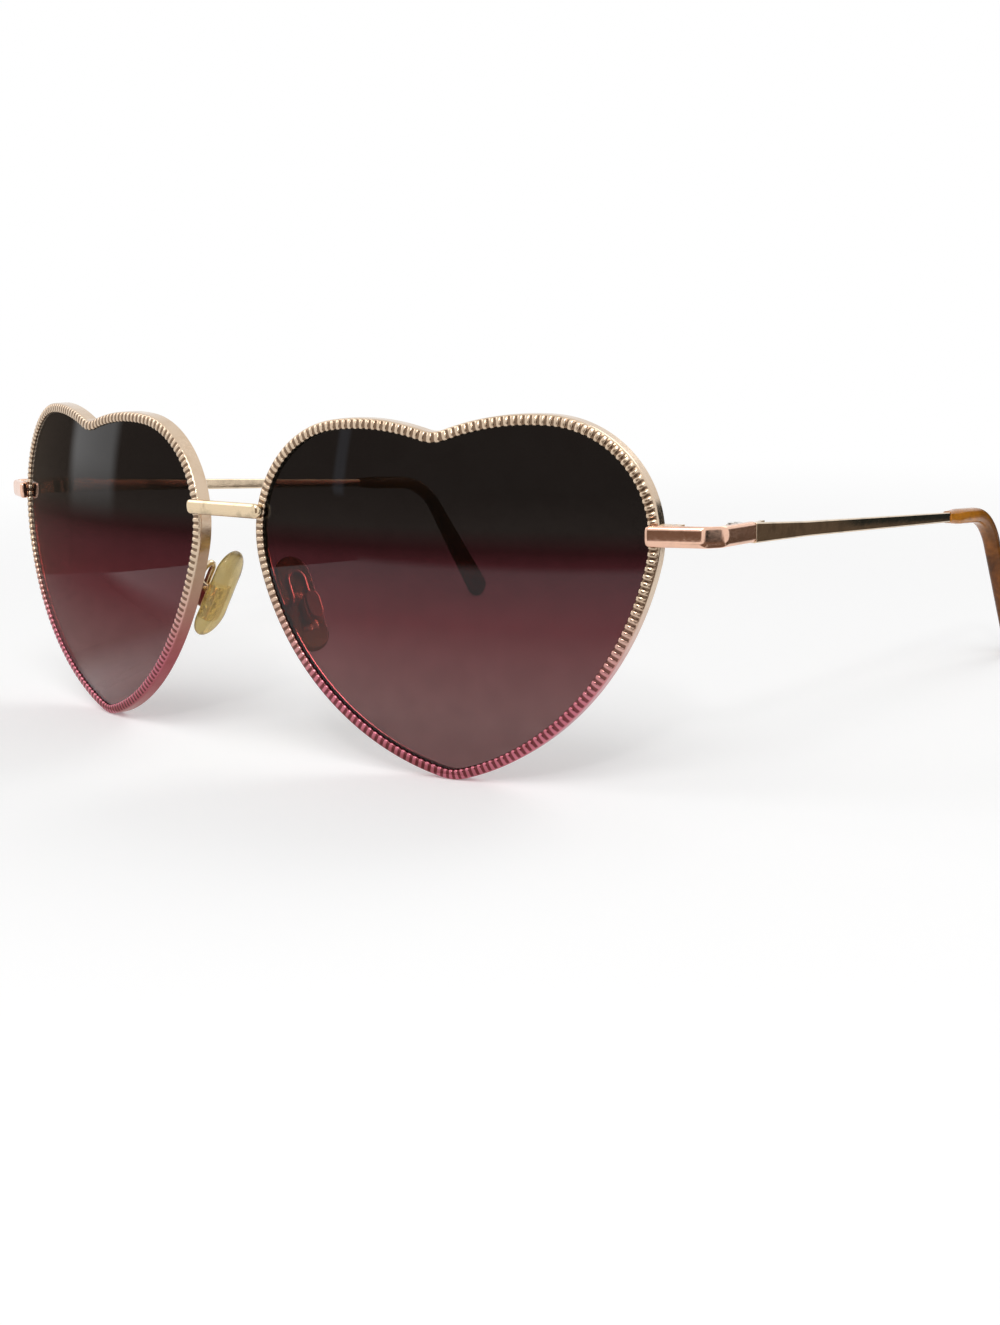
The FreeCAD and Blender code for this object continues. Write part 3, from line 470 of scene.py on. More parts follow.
def lens_surface(sizes, bars):
    """Lens: two dished faces and their edge, on rings shrunk towards the heart's middle.

    Ring t of a face has the points t * edge on its sphere, with t from 0 to 1, and the edge joins
    the two outer rings. The rings are dense near the edge.
    """
    around, rings, crowding = 480, 25, 0.8
    edge, normal, _ = heart_edge(sizes, np.linspace(0, edge_length(sizes), around, endpoint=False))
    edge = edge - sizes.lens_inset * normal
    share = np.linspace(0, 1, rings)[:, None, None] ** crowding
    front = dish(sizes, share * edge, sizes.lens_recess)
    back = dish(sizes, share * edge, sizes.lens_recess + sizes.lens_thickness)
    points = np.concatenate((front, back[::-1]))
    return lens_to_row(sizes, bars, points), grid_faces(len(points), around, closed_columns=True).tolist()


def bridge_surface(bars):
    """Bridge bar: a soft-cornered section carried along X, closed by round ends.

    The section is a superellipse in height and depth. Past the straight run both sizes shrink as the
    root of 1 - t^2, the depth towards the back, so the bar keeps its seat on the rims.
    """
    low, high = (np.array(corner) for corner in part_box("bridge"))
    half = bars.bridge_height / 2
    reach = bars.bridge_length / 2 - half
    ends = half * np.sin(np.linspace(0, math.pi / 2, 18))
    run = np.linspace(-reach, reach, 60)[1:-1]
    x = np.concatenate((-reach - ends[::-1], run, reach + ends))
    shrink = round_end(np.abs(x) - reach, half)[:, None]
    ahead, upward = superellipse(48, 2.5)
    y = high[1] - shrink * (high[1] - low[1]) * (1 + ahead) / 2
    z = front_origin(bars)[2] + bars.bridge_level + shrink * half * upward
    points = np.stack((np.broadcast_to(x[:, None], y.shape), y, z), axis=-1)
    return points, grid_faces(*y.shape, closed_columns=True).tolist()


def eased(line, step):
    """Plan points at steps along a polyline, softened at its turns by a moving average.

    The stations at the two ends stay as they are drawn.
    """
    reach, first, last = 6, 12, 14
    line = np.stack([np.interp(step, np.arange(len(line)), line[:, k]) for k in (0, 1)], axis=-1)
    bell = np.hanning(2 * reach + 1) / np.hanning(2 * reach + 1).sum()
    padded = np.pad(line, ((reach, reach), (0, 0)), "edge")
    soft = np.stack([np.convolve(padded[:, k], bell, "valid") for k in (0, 1)], axis=-1)
    soft[:first], soft[-last:] = line[:first], line[-last:]
    return soft


def end_piece_surface(sizes, bars):
    """End piece: a round-cornered bar carried from the rim's front over a facet into the hinge leg.

    Its outer and inner faces follow two polylines in plan, eased at the turns. At each station a
    superellipse spans the two lines; its level and height run straight from rim to hinge.
    """
    edge = heart_edge(sizes, np.array((split_travel(sizes),)))[0][0]
    start = turned(*edge, sizes.heart_turn)[0] - sizes.rim_width
    front = sizes.front_radius - math.sqrt(sizes.front_radius ** 2 - start ** 2 - sizes.root_level ** 2)
    origin = front_origin(bars)

    def root(depth):
        return origin[:2] + np.add((sizes.lens_offset, 0.0), turned(start, depth, sizes.wrap_angle))

    def leg(x, y):
        return hinge_to_row(bars, np.array((x, y, 0.0)))[:2]

    outside, inside = bars.bar_offset + bars.bar_thickness / 2, bars.bar_offset - bars.bar_thickness / 2
    turn, facet = bars.root_angle, bars.facet_length
    heel = bars.root_thickness / math.cos(turn) - bars.bar_thickness * math.tan(turn) - bars.leg_length
    outer = np.array((
        root(front - bars.root_thickness),
        leg(outside - facet * math.cos(turn), -bars.leg_length - facet * math.sin(turn)),
        leg(outside, facet - bars.leg_length),
        leg(outside, -bars.joint_gap / 2),
    ))
    sunk, rim_round, start_share, end_share = 0.1 * MM, 0.6 * MM, 0.05, 0.03
    inner = np.array((
        root(front + sunk), leg(inside, heel), leg(inside, heel), leg(inside, -bars.joint_gap / 2),
    ))
    close = 1 - np.cos(np.linspace(0, math.pi / 2, 9))
    step = np.concatenate((
        start_share * close, np.linspace(start_share, 1, 60)[1:], np.linspace(1, 2, 20)[1:],
        np.linspace(2, 3 - end_share, 50)[1:], 3 - end_share * close[::-1][1:],
    ))
    outer, inner = eased(outer, step), eased(inner, step)
    middle, span = (outer + inner) / 2, (outer - inner) / 2
    half = np.linalg.norm(span, axis=1)
    travel = np.concatenate(([0.0], np.cumsum(np.linalg.norm(np.diff(middle, axis=0), axis=1))))
    near = root(front)[1] - 2 * bars.root_thickness
    way = (middle[:, 1] - near) / (origin[1] + bars.hinge_depth + bars.bar_offset - near)
    level = origin[2] + sizes.root_level + (bars.hinge_level - sizes.root_level) * way
    tall = (bars.root_height + (bars.temple_root_height - bars.root_height) * way) / 2
    draw = rounded_ends(travel, rim_round, END_ROUND)
    wide, high = superellipse(40, 3.2)
    across, upward = (half - draw)[:, None] * wide, (tall - draw)[:, None] * high
    flat = middle[:, None, :] + across[..., None] * (span / half[:, None])[:, None, :]
    points = np.concatenate((flat, (level[:, None] + upward)[..., None]), axis=-1)
    return points, bar_faces(*across.shape)


def temple_path(bars, travel):
    """Side-view points and downward angles of the temple's middle line at lengths along it.

    A straight slope, an arc of the bend radius and a straight hook. Also returns where the hook starts.
    """
    slope, hook, bend = bars.temple_slope, bars.hook_angle, bars.bend_radius
    straight = bars.bar_length + bars.tip_straight - bend * math.tan((hook - slope) / 2)
    hook_start = straight + bend * (hook - slope)
    turn = slope + np.clip((travel - straight) / bend, 0, hook - slope)
    before = np.minimum(travel, straight)
    after = np.maximum(travel - hook_start, 0)
    along = before * math.cos(slope) + bend * (np.sin(turn) - math.sin(slope)) + after * math.cos(hook)
    fall = before * math.sin(slope) + bend * (math.cos(slope) - np.cos(turn)) + after * math.sin(hook)
    return np.stack((along, -fall), axis=-1), turn, hook_start


def temple_surface(bars):
    """Temple bar: a round-cornered upright section along the slope, flared at the hinge.

    The height runs straight from root to neck to end along the bar; the last of it is inside the tip.
    """
    inside_tip, corner = 0.6 * MM, 0.28 * MM
    close = 1 - np.cos(np.linspace(0, math.pi / 2, 7))
    start = bars.joint_gap / 2 / math.cos(bars.temple_slope)
    run = np.linspace(start + END_ROUND, bars.bar_length + inside_tip, 120)
    travel = np.concatenate((start + END_ROUND * close, run[1:]))
    middle = temple_path(bars, travel)[0]
    heights = (bars.temple_root_height, bars.temple_neck_height, bars.temple_end_height)
    tall = np.interp(travel, (0.0, bars.temple_flare, bars.bar_length), heights) / 2
    draw = rounded_ends(travel, END_ROUND, END_ROUND)
    across, upward = rounded_ring(bars.bar_thickness / 2 - draw, tall - draw, np.full_like(tall, corner))
    y = np.broadcast_to(middle[:, :1], across.shape)
    points = np.stack((bars.bar_offset + across, y, middle[:, 1:] + upward), axis=-1)
    return hinge_to_row(bars, points), bar_faces(*across.shape)


def tip_surface(bars):
    """Temple tip: a superellipse section carried down the slope, round the ear bend and along the hook.

    It starts just proud of the bar's end and swells over a few millimetres; its half height grows along
    the hook to the end radius. Both half sizes shrink at the end, as the root of 1 - t^2, to a closed
    round end.
    """
    lip, swell = 0.15 * MM, 5.0 * MM
    hook_start = temple_path(bars, np.zeros(1))[2]
    foot = temple_path(bars, np.array((hook_start,)))[0][0]
    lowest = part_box("temple_tip_left")[0][2]
    run = (HINGE[2] + foot[1] - bars.tip_end_radius - lowest) / math.sin(bars.hook_angle)
    start, finish = bars.bar_length, hook_start + run + bars.tip_end_radius
    close = start + lip * (1 - np.cos(np.linspace(0, math.pi / 2, 7)))
    last = finish - bars.tip_end_radius * (1 - np.sin(np.linspace(0, math.pi / 2, 15)))
    travel = np.concatenate((close, np.linspace(close[-1], last[0], 130)[1:], last[1:]))
    middle, turn, _ = temple_path(bars, travel)
    grow = np.clip((travel - hook_start) / run, 0, 1)
    rise = smooth_step((travel - start) / swell)
    full = bars.tip_height / 2 + (bars.tip_end_radius - bars.tip_height / 2) * grow
    tall = bars.temple_end_height / 2 + lip + (full - bars.temple_end_height / 2 - lip) * rise
    wide = bars.bar_thickness / 2 + lip + ((bars.tip_thickness - bars.bar_thickness) / 2 - lip) * rise
    draw = quarter_round(travel - start, lip)
    shrink = round_end(travel - last[0], bars.tip_end_radius)
    across, upward = superellipse(48, 2.7)
    x = bars.bar_offset + ((wide - draw) * shrink)[:, None] * across
    upward = ((tall - draw) * shrink)[:, None] * upward
    y = middle[:, :1] + upward * np.sin(turn)[:, None]
    z = middle[:, 1:] + upward * np.cos(turn)[:, None]
    faces = grid_faces(*x.shape, closed_columns=True).tolist() + [list(range(x.shape[1]))]
    return hinge_to_row(bars, np.stack((x, y, z), axis=-1)), faces


def pad_surface(bars):
    """Nose pad: an egg outline, crowned towards the nose and flatter behind.

    The outline is the hull of two circles. On ring t, from 1 at the outline to 0 in the middle, the
    nose face stands (1 - t^3)^0.45 of its height and the back (1 - t^7)^0.4 of its own.
    """
    top = bars.pad_length / 2 - bars.pad_top_radius
    low = bars.pad_low_radius - bars.pad_length / 2
    tilt = math.asin((bars.pad_low_radius - bars.pad_top_radius) / (top - low))

    def arc(radius, level, first, last, count):
        swing = np.linspace(first, last, count)
        return np.stack((radius * np.cos(swing), level + radius * np.sin(swing)), axis=-1)

    up = arc(bars.pad_top_radius, top, tilt, math.pi - tilt, 40)
    down = arc(bars.pad_low_radius, low, math.pi - tilt, 2 * math.pi + tilt, 44)
    side = np.linspace(0, 1, 16)[1:-1, None]
    egg = np.concatenate((up, up[-1] + side * (down[0] - up[-1]), down, down[-1] + side * (up[0] - down[-1])))
    half, parting, back_room = bars.pad_thickness / 2, -0.12 * bars.pad_thickness, 0.03 * MM
    share = np.sin(np.linspace(0, math.pi / 2, 22))
    crown = parting + (half - parting) * (1 - share ** 3) ** 0.45
    under = parting - (half - back_room + parting) * (1 - share ** 7) ** 0.4
    flat = np.concatenate((share, share[::-1][1:]))[:, None, None] * egg
    lift = np.concatenate((crown, under[::-1][1:]))[:, None, None]
    points = np.concatenate((flat, np.broadcast_to(lift, flat.shape[:2] + (1,))), axis=-1)
    return pad_to_row(bars, points), grid_faces(*flat.shape[:2], closed_columns=True).tolist()


def arm_surface(sizes, bars):
    """Pad arm: round wire from the rim's back that turns up beside the pad and loops over to its box.

    The middle line is a straight neck, a quadratic curve round the corner, a straight leg, a half
    circle and a straight end, in a plane behind the pad's face but for the neck. A circle is carried
    along it, set square to its direction.
    """
    root_sink, seat_sink, soft = 0.2 * MM, 0.15 * MM, 0.8 * MM
    edge, normal, _ = heart_edge(sizes, np.linspace(0, edge_length(sizes), 4000))
    flat = edge - sizes.rim_width / 2 * normal
    level = turned(flat[:, 0], flat[:, 1], sizes.heart_turn)[1]
    nasal = np.argmin(np.abs(level + bars.arm_drop) + (flat[:, 0] > 0))
    root = lens_to_row(sizes, bars, dish(sizes, flat[nasal], sizes.rim_depth - root_sink))
    bend, side = bars.arm_bend, 2 * bars.arm_bend
    behind = -bars.pad_thickness / 2 - bars.box_gap - bars.box_depth / 2
    shoulder = bars.arm_top - bend

    def behind_pad(x, y):
        return pad_to_row(bars, np.stack((x, y, np.full_like(x, behind)), axis=-1))

    corner = behind_pad(side, -bars.arm_foot)
    neck = (root - corner) / np.linalg.norm(root - corner)
    up = behind_pad(side, shoulder) - corner
    up /= np.linalg.norm(up)
    turn = np.linspace(0, 1, 14)[:, None]
    curve = corner + soft * ((1 - turn) ** 2 * neck + turn ** 2 * up)
    straight = np.linspace(root, curve[0], 8)[:-1]
    swing = np.linspace(0, math.pi, 32)
    loop = behind_pad(bend + bend * np.cos(swing), shoulder + bend * np.sin(swing))
    rise = np.linspace(curve[-1], loop[0], 10)[1:-1]
    seat = behind_pad(0.0, bars.box_length / 2 - bars.stem_drop - seat_sink)
    fall = np.linspace(loop[-1], seat, 8)[1:]
    path = np.concatenate((straight, curve, rise, loop, fall))
    ahead = np.gradient(path, axis=0)
    ahead /= np.linalg.norm(ahead, axis=1)[:, None]
    face = pad_to_row(bars, np.array((0.0, 0.0, 1.0))) - pad_to_row(bars, np.zeros(3))
    first = np.cross(ahead, face)
    first /= np.linalg.norm(first, axis=1)[:, None]
    second = np.cross(ahead, first)
    phase = np.linspace(0, 2 * math.pi, 20, endpoint=False)[None, :, None]
    ring = np.cos(phase) * first[:, None, :] + np.sin(phase) * second[:, None, :]
    return path[:, None, :] + bars.arm_diameter / 2 * ring, bar_faces(len(path), 20)


def box_surface(bars):
    """Pad box: long rings, round at both ends, up the outside, over the lip and down to the inner floor.

    Each ring has the wall's inset and the height above the box's back.
    """
    deep, lip, wall, foot, floor = bars.box_depth, 0.12 * MM, 0.42 * MM, 0.2 * MM, 0.4 * MM
    half, long = bars.box_width / 2, bars.box_length / 2
    swing = np.linspace(0, math.pi / 2, 6)
    rise, turn = 1 - np.sin(swing), 1 - np.cos(swing)
    inset = np.concatenate((
        (0.9 * half, 0.5 * half), foot * rise, lip * turn, wall - lip * rise, (wall, 0.7 * half, 0.9 * half),
    ))
    height = np.concatenate((
        (0.0, 0.0), foot * turn, deep - lip * rise, deep - lip * turn, (floor, floor, floor),
    ))
    across, along = rounded_ring(half - inset, long - inset, 0.98 * (half - inset), 9)
    lift = np.broadcast_to((height - bars.pad_thickness / 2 - bars.box_gap - deep)[:, None], across.shape)
    points = np.stack((across, along - bars.stem_drop, lift), axis=-1)
    return pad_to_row(bars, points), bar_faces(*across.shape)


# Screws: head radius, shank radius and head height
SCREWS = {
    "hinge_screw": (0.95 * MM, 0.6 * MM, 0.22 * MM),
    "rim_screw": (0.7 * MM, 0.4 * MM, 0.4 * MM),
    "pad_screw": (0.7 * MM, 0.4 * MM, 0.35 * MM),
}


def screw_surface(head, shank, cap, reach):
    """Slotted screw down its own Z axis from the top of its head: a disc of straight rows, then rings.

    Row y of the top is as long as the head's chord there, and is sunk by the slot's depth between the
    slot's walls. The rings below keep the edge points of the rows, so the slot is open at both ends.
    """
    slot, sink, chamfer, rows = 0.16, 0.55 * cap, 0.1 * MM, 10
    wall = math.asin(slot)
    outer = np.linspace(wall, math.pi / 2, rows)
    turn = np.concatenate((-outer[::-1], (-wall, wall), outer))
    sunk = np.concatenate((np.zeros(rows), (sink, sink), np.zeros(rows)))
    x = head * np.cos(turn)[:, None] * np.linspace(-1, 1, 9)
    y = np.broadcast_to(head * np.sin(turn)[:, None], x.shape)
    top = np.stack((x, y, np.broadcast_to(-sunk[:, None], x.shape)), axis=-1)
    loop = np.concatenate((top[:, -1], top[::-1, 0]))
    rings = [loop]
    for radius, depth in ((head, cap), (shank, cap), (shank, reach - chamfer), (shank - chamfer, reach)):
        rings.append(np.column_stack((loop[:, :2] * radius / head, np.full(len(loop), -depth))))
    points = np.concatenate((top.reshape(-1, 3), *rings))
    sides = grid_faces(len(rings), len(loop), closed_columns=True) + x.size
    end = list(range(len(points) - len(loop), len(points)))
    return points, grid_faces(*x.shape).tolist() + sides.tolist() + [end]


def set_along(points, top, up):
    """Turn points made along Z so that Z runs along a direction, with their origin at a point."""
    up = np.array(up, float) / np.linalg.norm(up)
    side = np.cross((0.6, 0.8, 0.0), up)
    side /= np.linalg.norm(side)
    return points @ np.stack((side, np.cross(up, side), up)) + top


# Sockets of a mix node set to colours
MIX_FACTOR, MIX_FIRST, MIX_SECOND, MIX_RESULT = 0, 6, 7, 2
WHITE = (1.0, 1.0, 1.0)


def fill(tree, socket, value):
    """Link an output to a socket, or set the socket to a constant."""
    if isinstance(value, bpy.types.NodeSocket):
        tree.links.new(value, socket)
    else:
        socket.default_value = (*value, 1.0) if socket.type == "RGBA" else value


def add_node(tree, kind, inputs=None, **settings):
    """Add a shader node with its settings, and fill the inputs that are named or numbered."""
    node = tree.nodes.new("ShaderNode" + kind)
    for name, value in settings.items():
        setattr(node, name, value)
    for key, value in (inputs or {}).items():
        fill(tree, node.inputs[key], value)
    return node


def calculate(tree, operation, first, second):
    """Output of a maths node on two values or outputs."""
    return add_node(tree, "Math", {0: first, 1: second}, operation=operation).outputs[0]


class Palette:
    """Builds one node material at a time, with the pattern placed by the object's own coordinates."""

    def __init__(self, name):
        self.material = bpy.data.materials.new(name)
        self.material.use_nodes = True
        self.tree = self.material.node_tree
        self.shader = self.tree.nodes["Principled BSDF"]
        self.place = self.add("TexCoord").outputs["Object"]

    def add(self, kind, inputs=None, **settings):
        return add_node(self.tree, kind, inputs, **settings)

    def set(self, **values):
        """Fill the shader's own sockets, with spaces in names written as underscores."""
        for name, value in values.items():
            fill(self.tree, self.shader.inputs[name.replace("_", " ")], value)

    def noise(self, scale, detail=3.0, rough=0.55, stretch=None, distortion=0.0):
        """Noise of so many features a metre, from 0 to 1, stretched along the axes if asked."""
        place = self.place
        if stretch:
            place = self.add("Mapping", {"Vector": place, "Scale": stretch}).outputs["Vector"]
        return self.add("TexNoise", {
            "Vector": place, "Scale": scale, "Detail": detail, "Roughness": rough, "Distortion": distortion,
        }).outputs["Fac"]

    def spread(self, source, low, high, first=0.0, last=1.0, kind="SMOOTHSTEP"):
        """Map a value from low..high to first..last."""
        return self.add("MapRange", {
            "Value": source, "From Min": low, "From Max": high, "To Min": first, "To Max": last,
        }, interpolation_type=kind).outputs["Result"]

    def along(self, axis):
        """Place along an axis of the frame, in metres."""
        return self.add("SeparateXYZ", {"Vector": self.place}).outputs[axis]

    def mix(self, factor, first, second, blend="MIX"):
        """Mix two colours or colour outputs by a factor."""
        return self.add("Mix", {
            MIX_FACTOR: factor, MIX_FIRST: first, MIX_SECOND: second,
        }, data_type="RGBA", blend_type=blend).outputs[MIX_RESULT]

    def ramp(self, source, stops):
        """Colours along a value: (position, colour) pairs."""
        node = self.add("ValToRGB", {"Fac": source})
        elements = node.color_ramp.elements
        while len(elements) < len(stops):
            elements.new(0.5)
        for element, (position, tint) in zip(elements, stops):
            element.position = position
            element.color = (*tint, 1.0)
        return node.outputs["Color"]

    def bump(self, source, strength, distance):
        """Normal of a relief so many metres high."""
        relief = {"Height": source, "Strength": strength, "Distance": distance}
        return self.add("Bump", relief).outputs["Normal"]


def scaled(tint, factor):
    """The colour made darker or lighter."""
    return tuple(min(1.0, channel * factor) for channel in tint)


def metal(name, tint, rough, patch_scale=500.0, patch=0.75, stretch=None, grain=0.25, worn=(0.42, 0.72)):
    """Plated metal: soft patches of thinner plating, roughness that follows fine scuffs, and a fine grain."""
    look = Palette(name)
    wear = look.spread(look.noise(patch_scale, 4.0), *worn)
    scuff = look.noise(2600.0, stretch=stretch)
    look.set(
        Metallic=1.0,
        Base_Color=look.mix(wear, tint, scaled(tint, patch)),
        Roughness=look.spread(scuff, 0.3, 0.75, rough * 0.8, rough * 1.35),
        Normal=look.bump(scuff, grain, GRAIN_HEIGHT),
    )
    return look.material


def coined_metal(finishes):
    """Coined rim plating: gold at the brow that fades to rose below, with painted shade darkening the coined
    grooves.
    """
    look = Palette("coined_rim")
    fade = look.spread(look.along("Z"), 0.01, 0.027)
    plate = look.mix(fade, finishes.rim_rose, finishes.rim_gold)
    wear = look.spread(look.noise(420.0, 4.0), 0.4, 0.75)
    worn = look.mix(wear, plate, (0.9, 0.86, 0.82), "MULTIPLY")
    # Painted shade: in the grooves, as the crest mask tells, the plating is multiplied by the groove shade
    # colour
    groove = look.mix(1.0, worn, finishes.rim_groove_shade, "MULTIPLY")
    crest = look.spread(look.add("Attribute", attribute_name="crest").outputs["Fac"], 0.1, 0.9)
    scuff = look.noise(3000.0)
    look.set(
        Metallic=1.0,
        Base_Color=look.mix(crest, groove, worn),
        Roughness=look.spread(scuff, 0.3, 0.75, 0.14, 0.26),
        Normal=look.bump(scuff, 0.08, GRAIN_HEIGHT),
    )
    return look.material


def lens_tint(finishes):
    """Tinted lens: nearly black at the brow, wine red across the middle, clearer below, faintly mottled."""
    look = Palette("rose_tint")
    height = look.spread(look.along("Z"), 0.003, 0.048, kind="LINEAR")
    top, plum, bottom = finishes.lens_top, finishes.lens_plum, finishes.lens_bottom
    # The steep fall from plum to the nearly black top is partly a painted reflection line over the lens's own
    # gradient tint
    tint = look.ramp(height, [
        (0.0, bottom), (0.11, bottom), (0.4, finishes.lens_middle), (0.55, plum), (0.58, scaled(plum, 0.8)),
        (0.62, scaled(plum, 0.36)), (0.68, scaled(top, 1.5)), (0.78, top),
    ])
    mottle = look.spread(look.noise(300.0, 2.0), 0.3, 0.7)
    look.set(
        Transmission_Weight=1.0, IOR=1.36, Roughness=0.0,
        Base_Color=look.mix(mottle, tint, (0.9, 0.88, 0.88), "MULTIPLY"),
    )
    return look.material


def tortoise(finishes):
    """Temple tip: polished acetate with amber clouds drawn out along the temple, browner down the hook."""
    look = Palette("tortoise_tip")
    cloud = look.noise(190.0, 4.0, 0.6, (1.0, 0.45, 1.0), 0.6)
    fleck = look.noise(900.0)
    amber, brown = finishes.tip_amber, finishes.tip_brown
    light = look.ramp(cloud, [(0.36, scaled(amber, 0.6)), (0.52, amber), (0.7, scaled(amber, 1.15))])
    dark = look.ramp(cloud, [(0.36, scaled(brown, 0.5)), (0.54, brown), (0.68, scaled(brown, 1.8))])
    base = look.mix(look.spread(look.along("Y"), 0.036, 0.052), light, dark)
    look.set(
        IOR=1.34, Transmission_Weight=0.15,
        Base_Color=look.mix(look.spread(fleck, 0.35, 0.75), base, (0.84, 0.78, 0.74), "MULTIPLY"),
        Roughness=look.spread(fleck, 0.3, 0.7, 0.12, 0.24),
        Normal=look.bump(fleck, 0.08, 0.00001),
    )
    return look.material


def soft_pad(finishes):
    """Nose pad: soft clear plastic gone slightly yellow, cloudy inside and polished by the skin."""
    look = Palette("soft_pad")
    cloud = look.noise(420.0)
    tint = finishes.pad_yellow
    look.set(
        IOR=1.42, Transmission_Weight=0.82,
        Subsurface_Weight=0.1, Subsurface_Radius=(0.002, 0.0014, 0.0006), Subsurface_Scale=1.0,
        Base_Color=look.mix(look.spread(cloud, 0.35, 0.7), tint, scaled(tint, 0.78)),
        Roughness=look.spread(cloud, 0.3, 0.7, 0.08, 0.22),
        Normal=look.bump(cloud, 0.25, 0.00006),
    )
    return look.material


def bright_stem(finishes):
    """Pad stem: bright plating with a hammered face, so it glints inside the clear pad, the glints partly
    painted by a glowing card seen through the pad.
    """
    look = Palette("stem_plate")
    dent = look.noise(1100.0, 2.0)
    tint = finishes.stem_gold
    look.set(
        Metallic=1.0,
        Base_Color=look.mix(look.spread(dent, 0.35, 0.65), tint, scaled(tint, 0.8)),
        Roughness=look.spread(dent, 0.3, 0.7, 0.05, 0.12),
        Normal=look.bump(dent, 1.0, 0.0002),
    )
    return look.material


def dress_node(name, material, edge):
    """Finish a frame node that keeps its own shape: join triangles, round edges and give it its metal."""
    node = frame["nodes"][name]
    node.modifiers.new("join", "WELD").merge_threshold = JOIN_DISTANCE
    bevel = node.modifiers.new("round edges", "BEVEL")
    bevel.width = edge
    bevel.segments = 2
    bevel.limit_method = "ANGLE"
    bevel.angle_limit = EDGE_TURN
    bevel.harden_normals = True
    node.data.materials.clear()
    node.data.materials.append(material)


def even_shading(piece):
    """Keep a rounded bar's flat sides flat in the shading."""
    piece.modifiers.new("flat sides", "WEIGHTED_NORMAL").keep_sharp = True


class SUNGLASSES_OT_rims(bpy.types.Operator):
    """Coined rims round both lenses"""

    bl_idname = "sunglasses.rims"
    bl_label = "Rims"

    def execute(self, context):
        scene = context.scene
        plating = coined_metal(scene.finishes)
        points, faces, height = rim_surface(scene.heart_sizes, scene.bar_sizes)
        for side, sign in SIDES:
            mesh = bpy.data.meshes.new(f"coined_rim_{side}")
            order = [face[::-1] for face in faces] if sign < 0 else faces
            mesh.from_pydata(mirrored(points, sign), [], order)
            crest = mesh.attributes.new("crest", "FLOAT", "POINT")
            crest.data.foreach_set("value", height.astype(np.float32).ravel())
            shade(mesh, COINED_TURN)
            add_piece(f"coined_rim_{side}", mesh, plating, "front", f"rim_{side}")
        return {"FINISHED"}


class SUNGLASSES_OT_lenses(bpy.types.Operator):
    """Tinted lenses in the rims' grooves"""

    bl_idname = "sunglasses.lenses"
    bl_label = "Lenses"

    def execute(self, context):
        scene = context.scene
        tint = lens_tint(scene.finishes)
        lens = lens_surface(scene.heart_sizes, scene.bar_sizes)
        for side, sign in SIDES:
            add_surface(f"tinted_lens_{side}", lens, sign, tint, "front", f"lens_{side}")
        return {"FINISHED"}


class SUNGLASSES_OT_bridge(bpy.types.Operator):
    """Polished bridge bar over the fronts of both rims"""

    bl_idname = "sunglasses.bridge"
    bl_label = "Bridge"

    def execute(self, context):
        scene = context.scene
        bar = bridge_surface(scene.bar_sizes)
        polish = metal("bridge_polish", scene.finishes.bridge_gold, 0.14, 420.0, 0.72, worn=(0.52, 0.7))
        add_surface("bridge_bar", bar, 1.0, polish, "front", "bridge")
        return {"FINISHED"}


class SUNGLASSES_OT_temples(bpy.types.Operator):
    """End pieces and temple bars"""

    bl_idname = "sunglasses.temples"
    bl_label = "End pieces and temples"

    def execute(self, context):
        scene = context.scene
        finishes, bars = scene.finishes, scene.bar_sizes
        rose = metal("end_piece_polish", finishes.end_rose, 0.13, patch=0.85)
        satin = metal("temple_satin", finishes.temple_gold, 0.07, 450.0, 0.75, (1.0, 0.2, 1.0), 0.15)
        root, bar = end_piece_surface(scene.heart_sizes, bars), temple_surface(bars)
        for side, sign in SIDES:
            temple = f"temple_{side}"
            add_surface(f"end_bar_{side}", root, sign, rose, "front", f"end_piece_{side}")
            even_shading(add_surface(f"temple_bar_{side}", bar, sign, satin, temple, temple))
        return {"FINISHED"}


class SUNGLASSES_OT_hinges(bpy.types.Operator):
    """Hinge halves and the blocks that close the rims"""

    bl_idname = "sunglasses.hinges"
    bl_label = "Hinges and closing blocks"

    def execute(self, context):
        brazed = metal("hinge_plate", context.scene.finishes.hinge_gold, 0.24, 700.0, 0.7)
        for side, _ in SIDES:
            for name in ("front_hinge", "temple_hinge", "rim_block_upper", "rim_block_lower"):
                dress_node(f"{name}_{side}", brazed, HINGE_EDGE)
        return {"FINISHED"}


class SUNGLASSES_OT_pad_arms(bpy.types.Operator):
    """Bent wire arms and the boxes that hold the nose pads"""

    bl_idname = "sunglasses.pad_arms"
    bl_label = "Pad arms and boxes"

    def execute(self, context):
        scene = context.scene
        drawn = metal("arm_wire", scene.finishes.hinge_gold, 0.09, 700.0, 0.75)
        arm, box = arm_surface(scene.heart_sizes, scene.bar_sizes), box_surface(scene.bar_sizes)
        for side, sign in SIDES:
            add_surface(f"arm_wire_{side}", arm, sign, drawn, "front", f"pad_arm_{side}")
            cup = add_surface(f"pad_cup_{side}", box, sign, drawn, "front", f"pad_box_{side}")
            even_shading(cup)
        return {"FINISHED"}


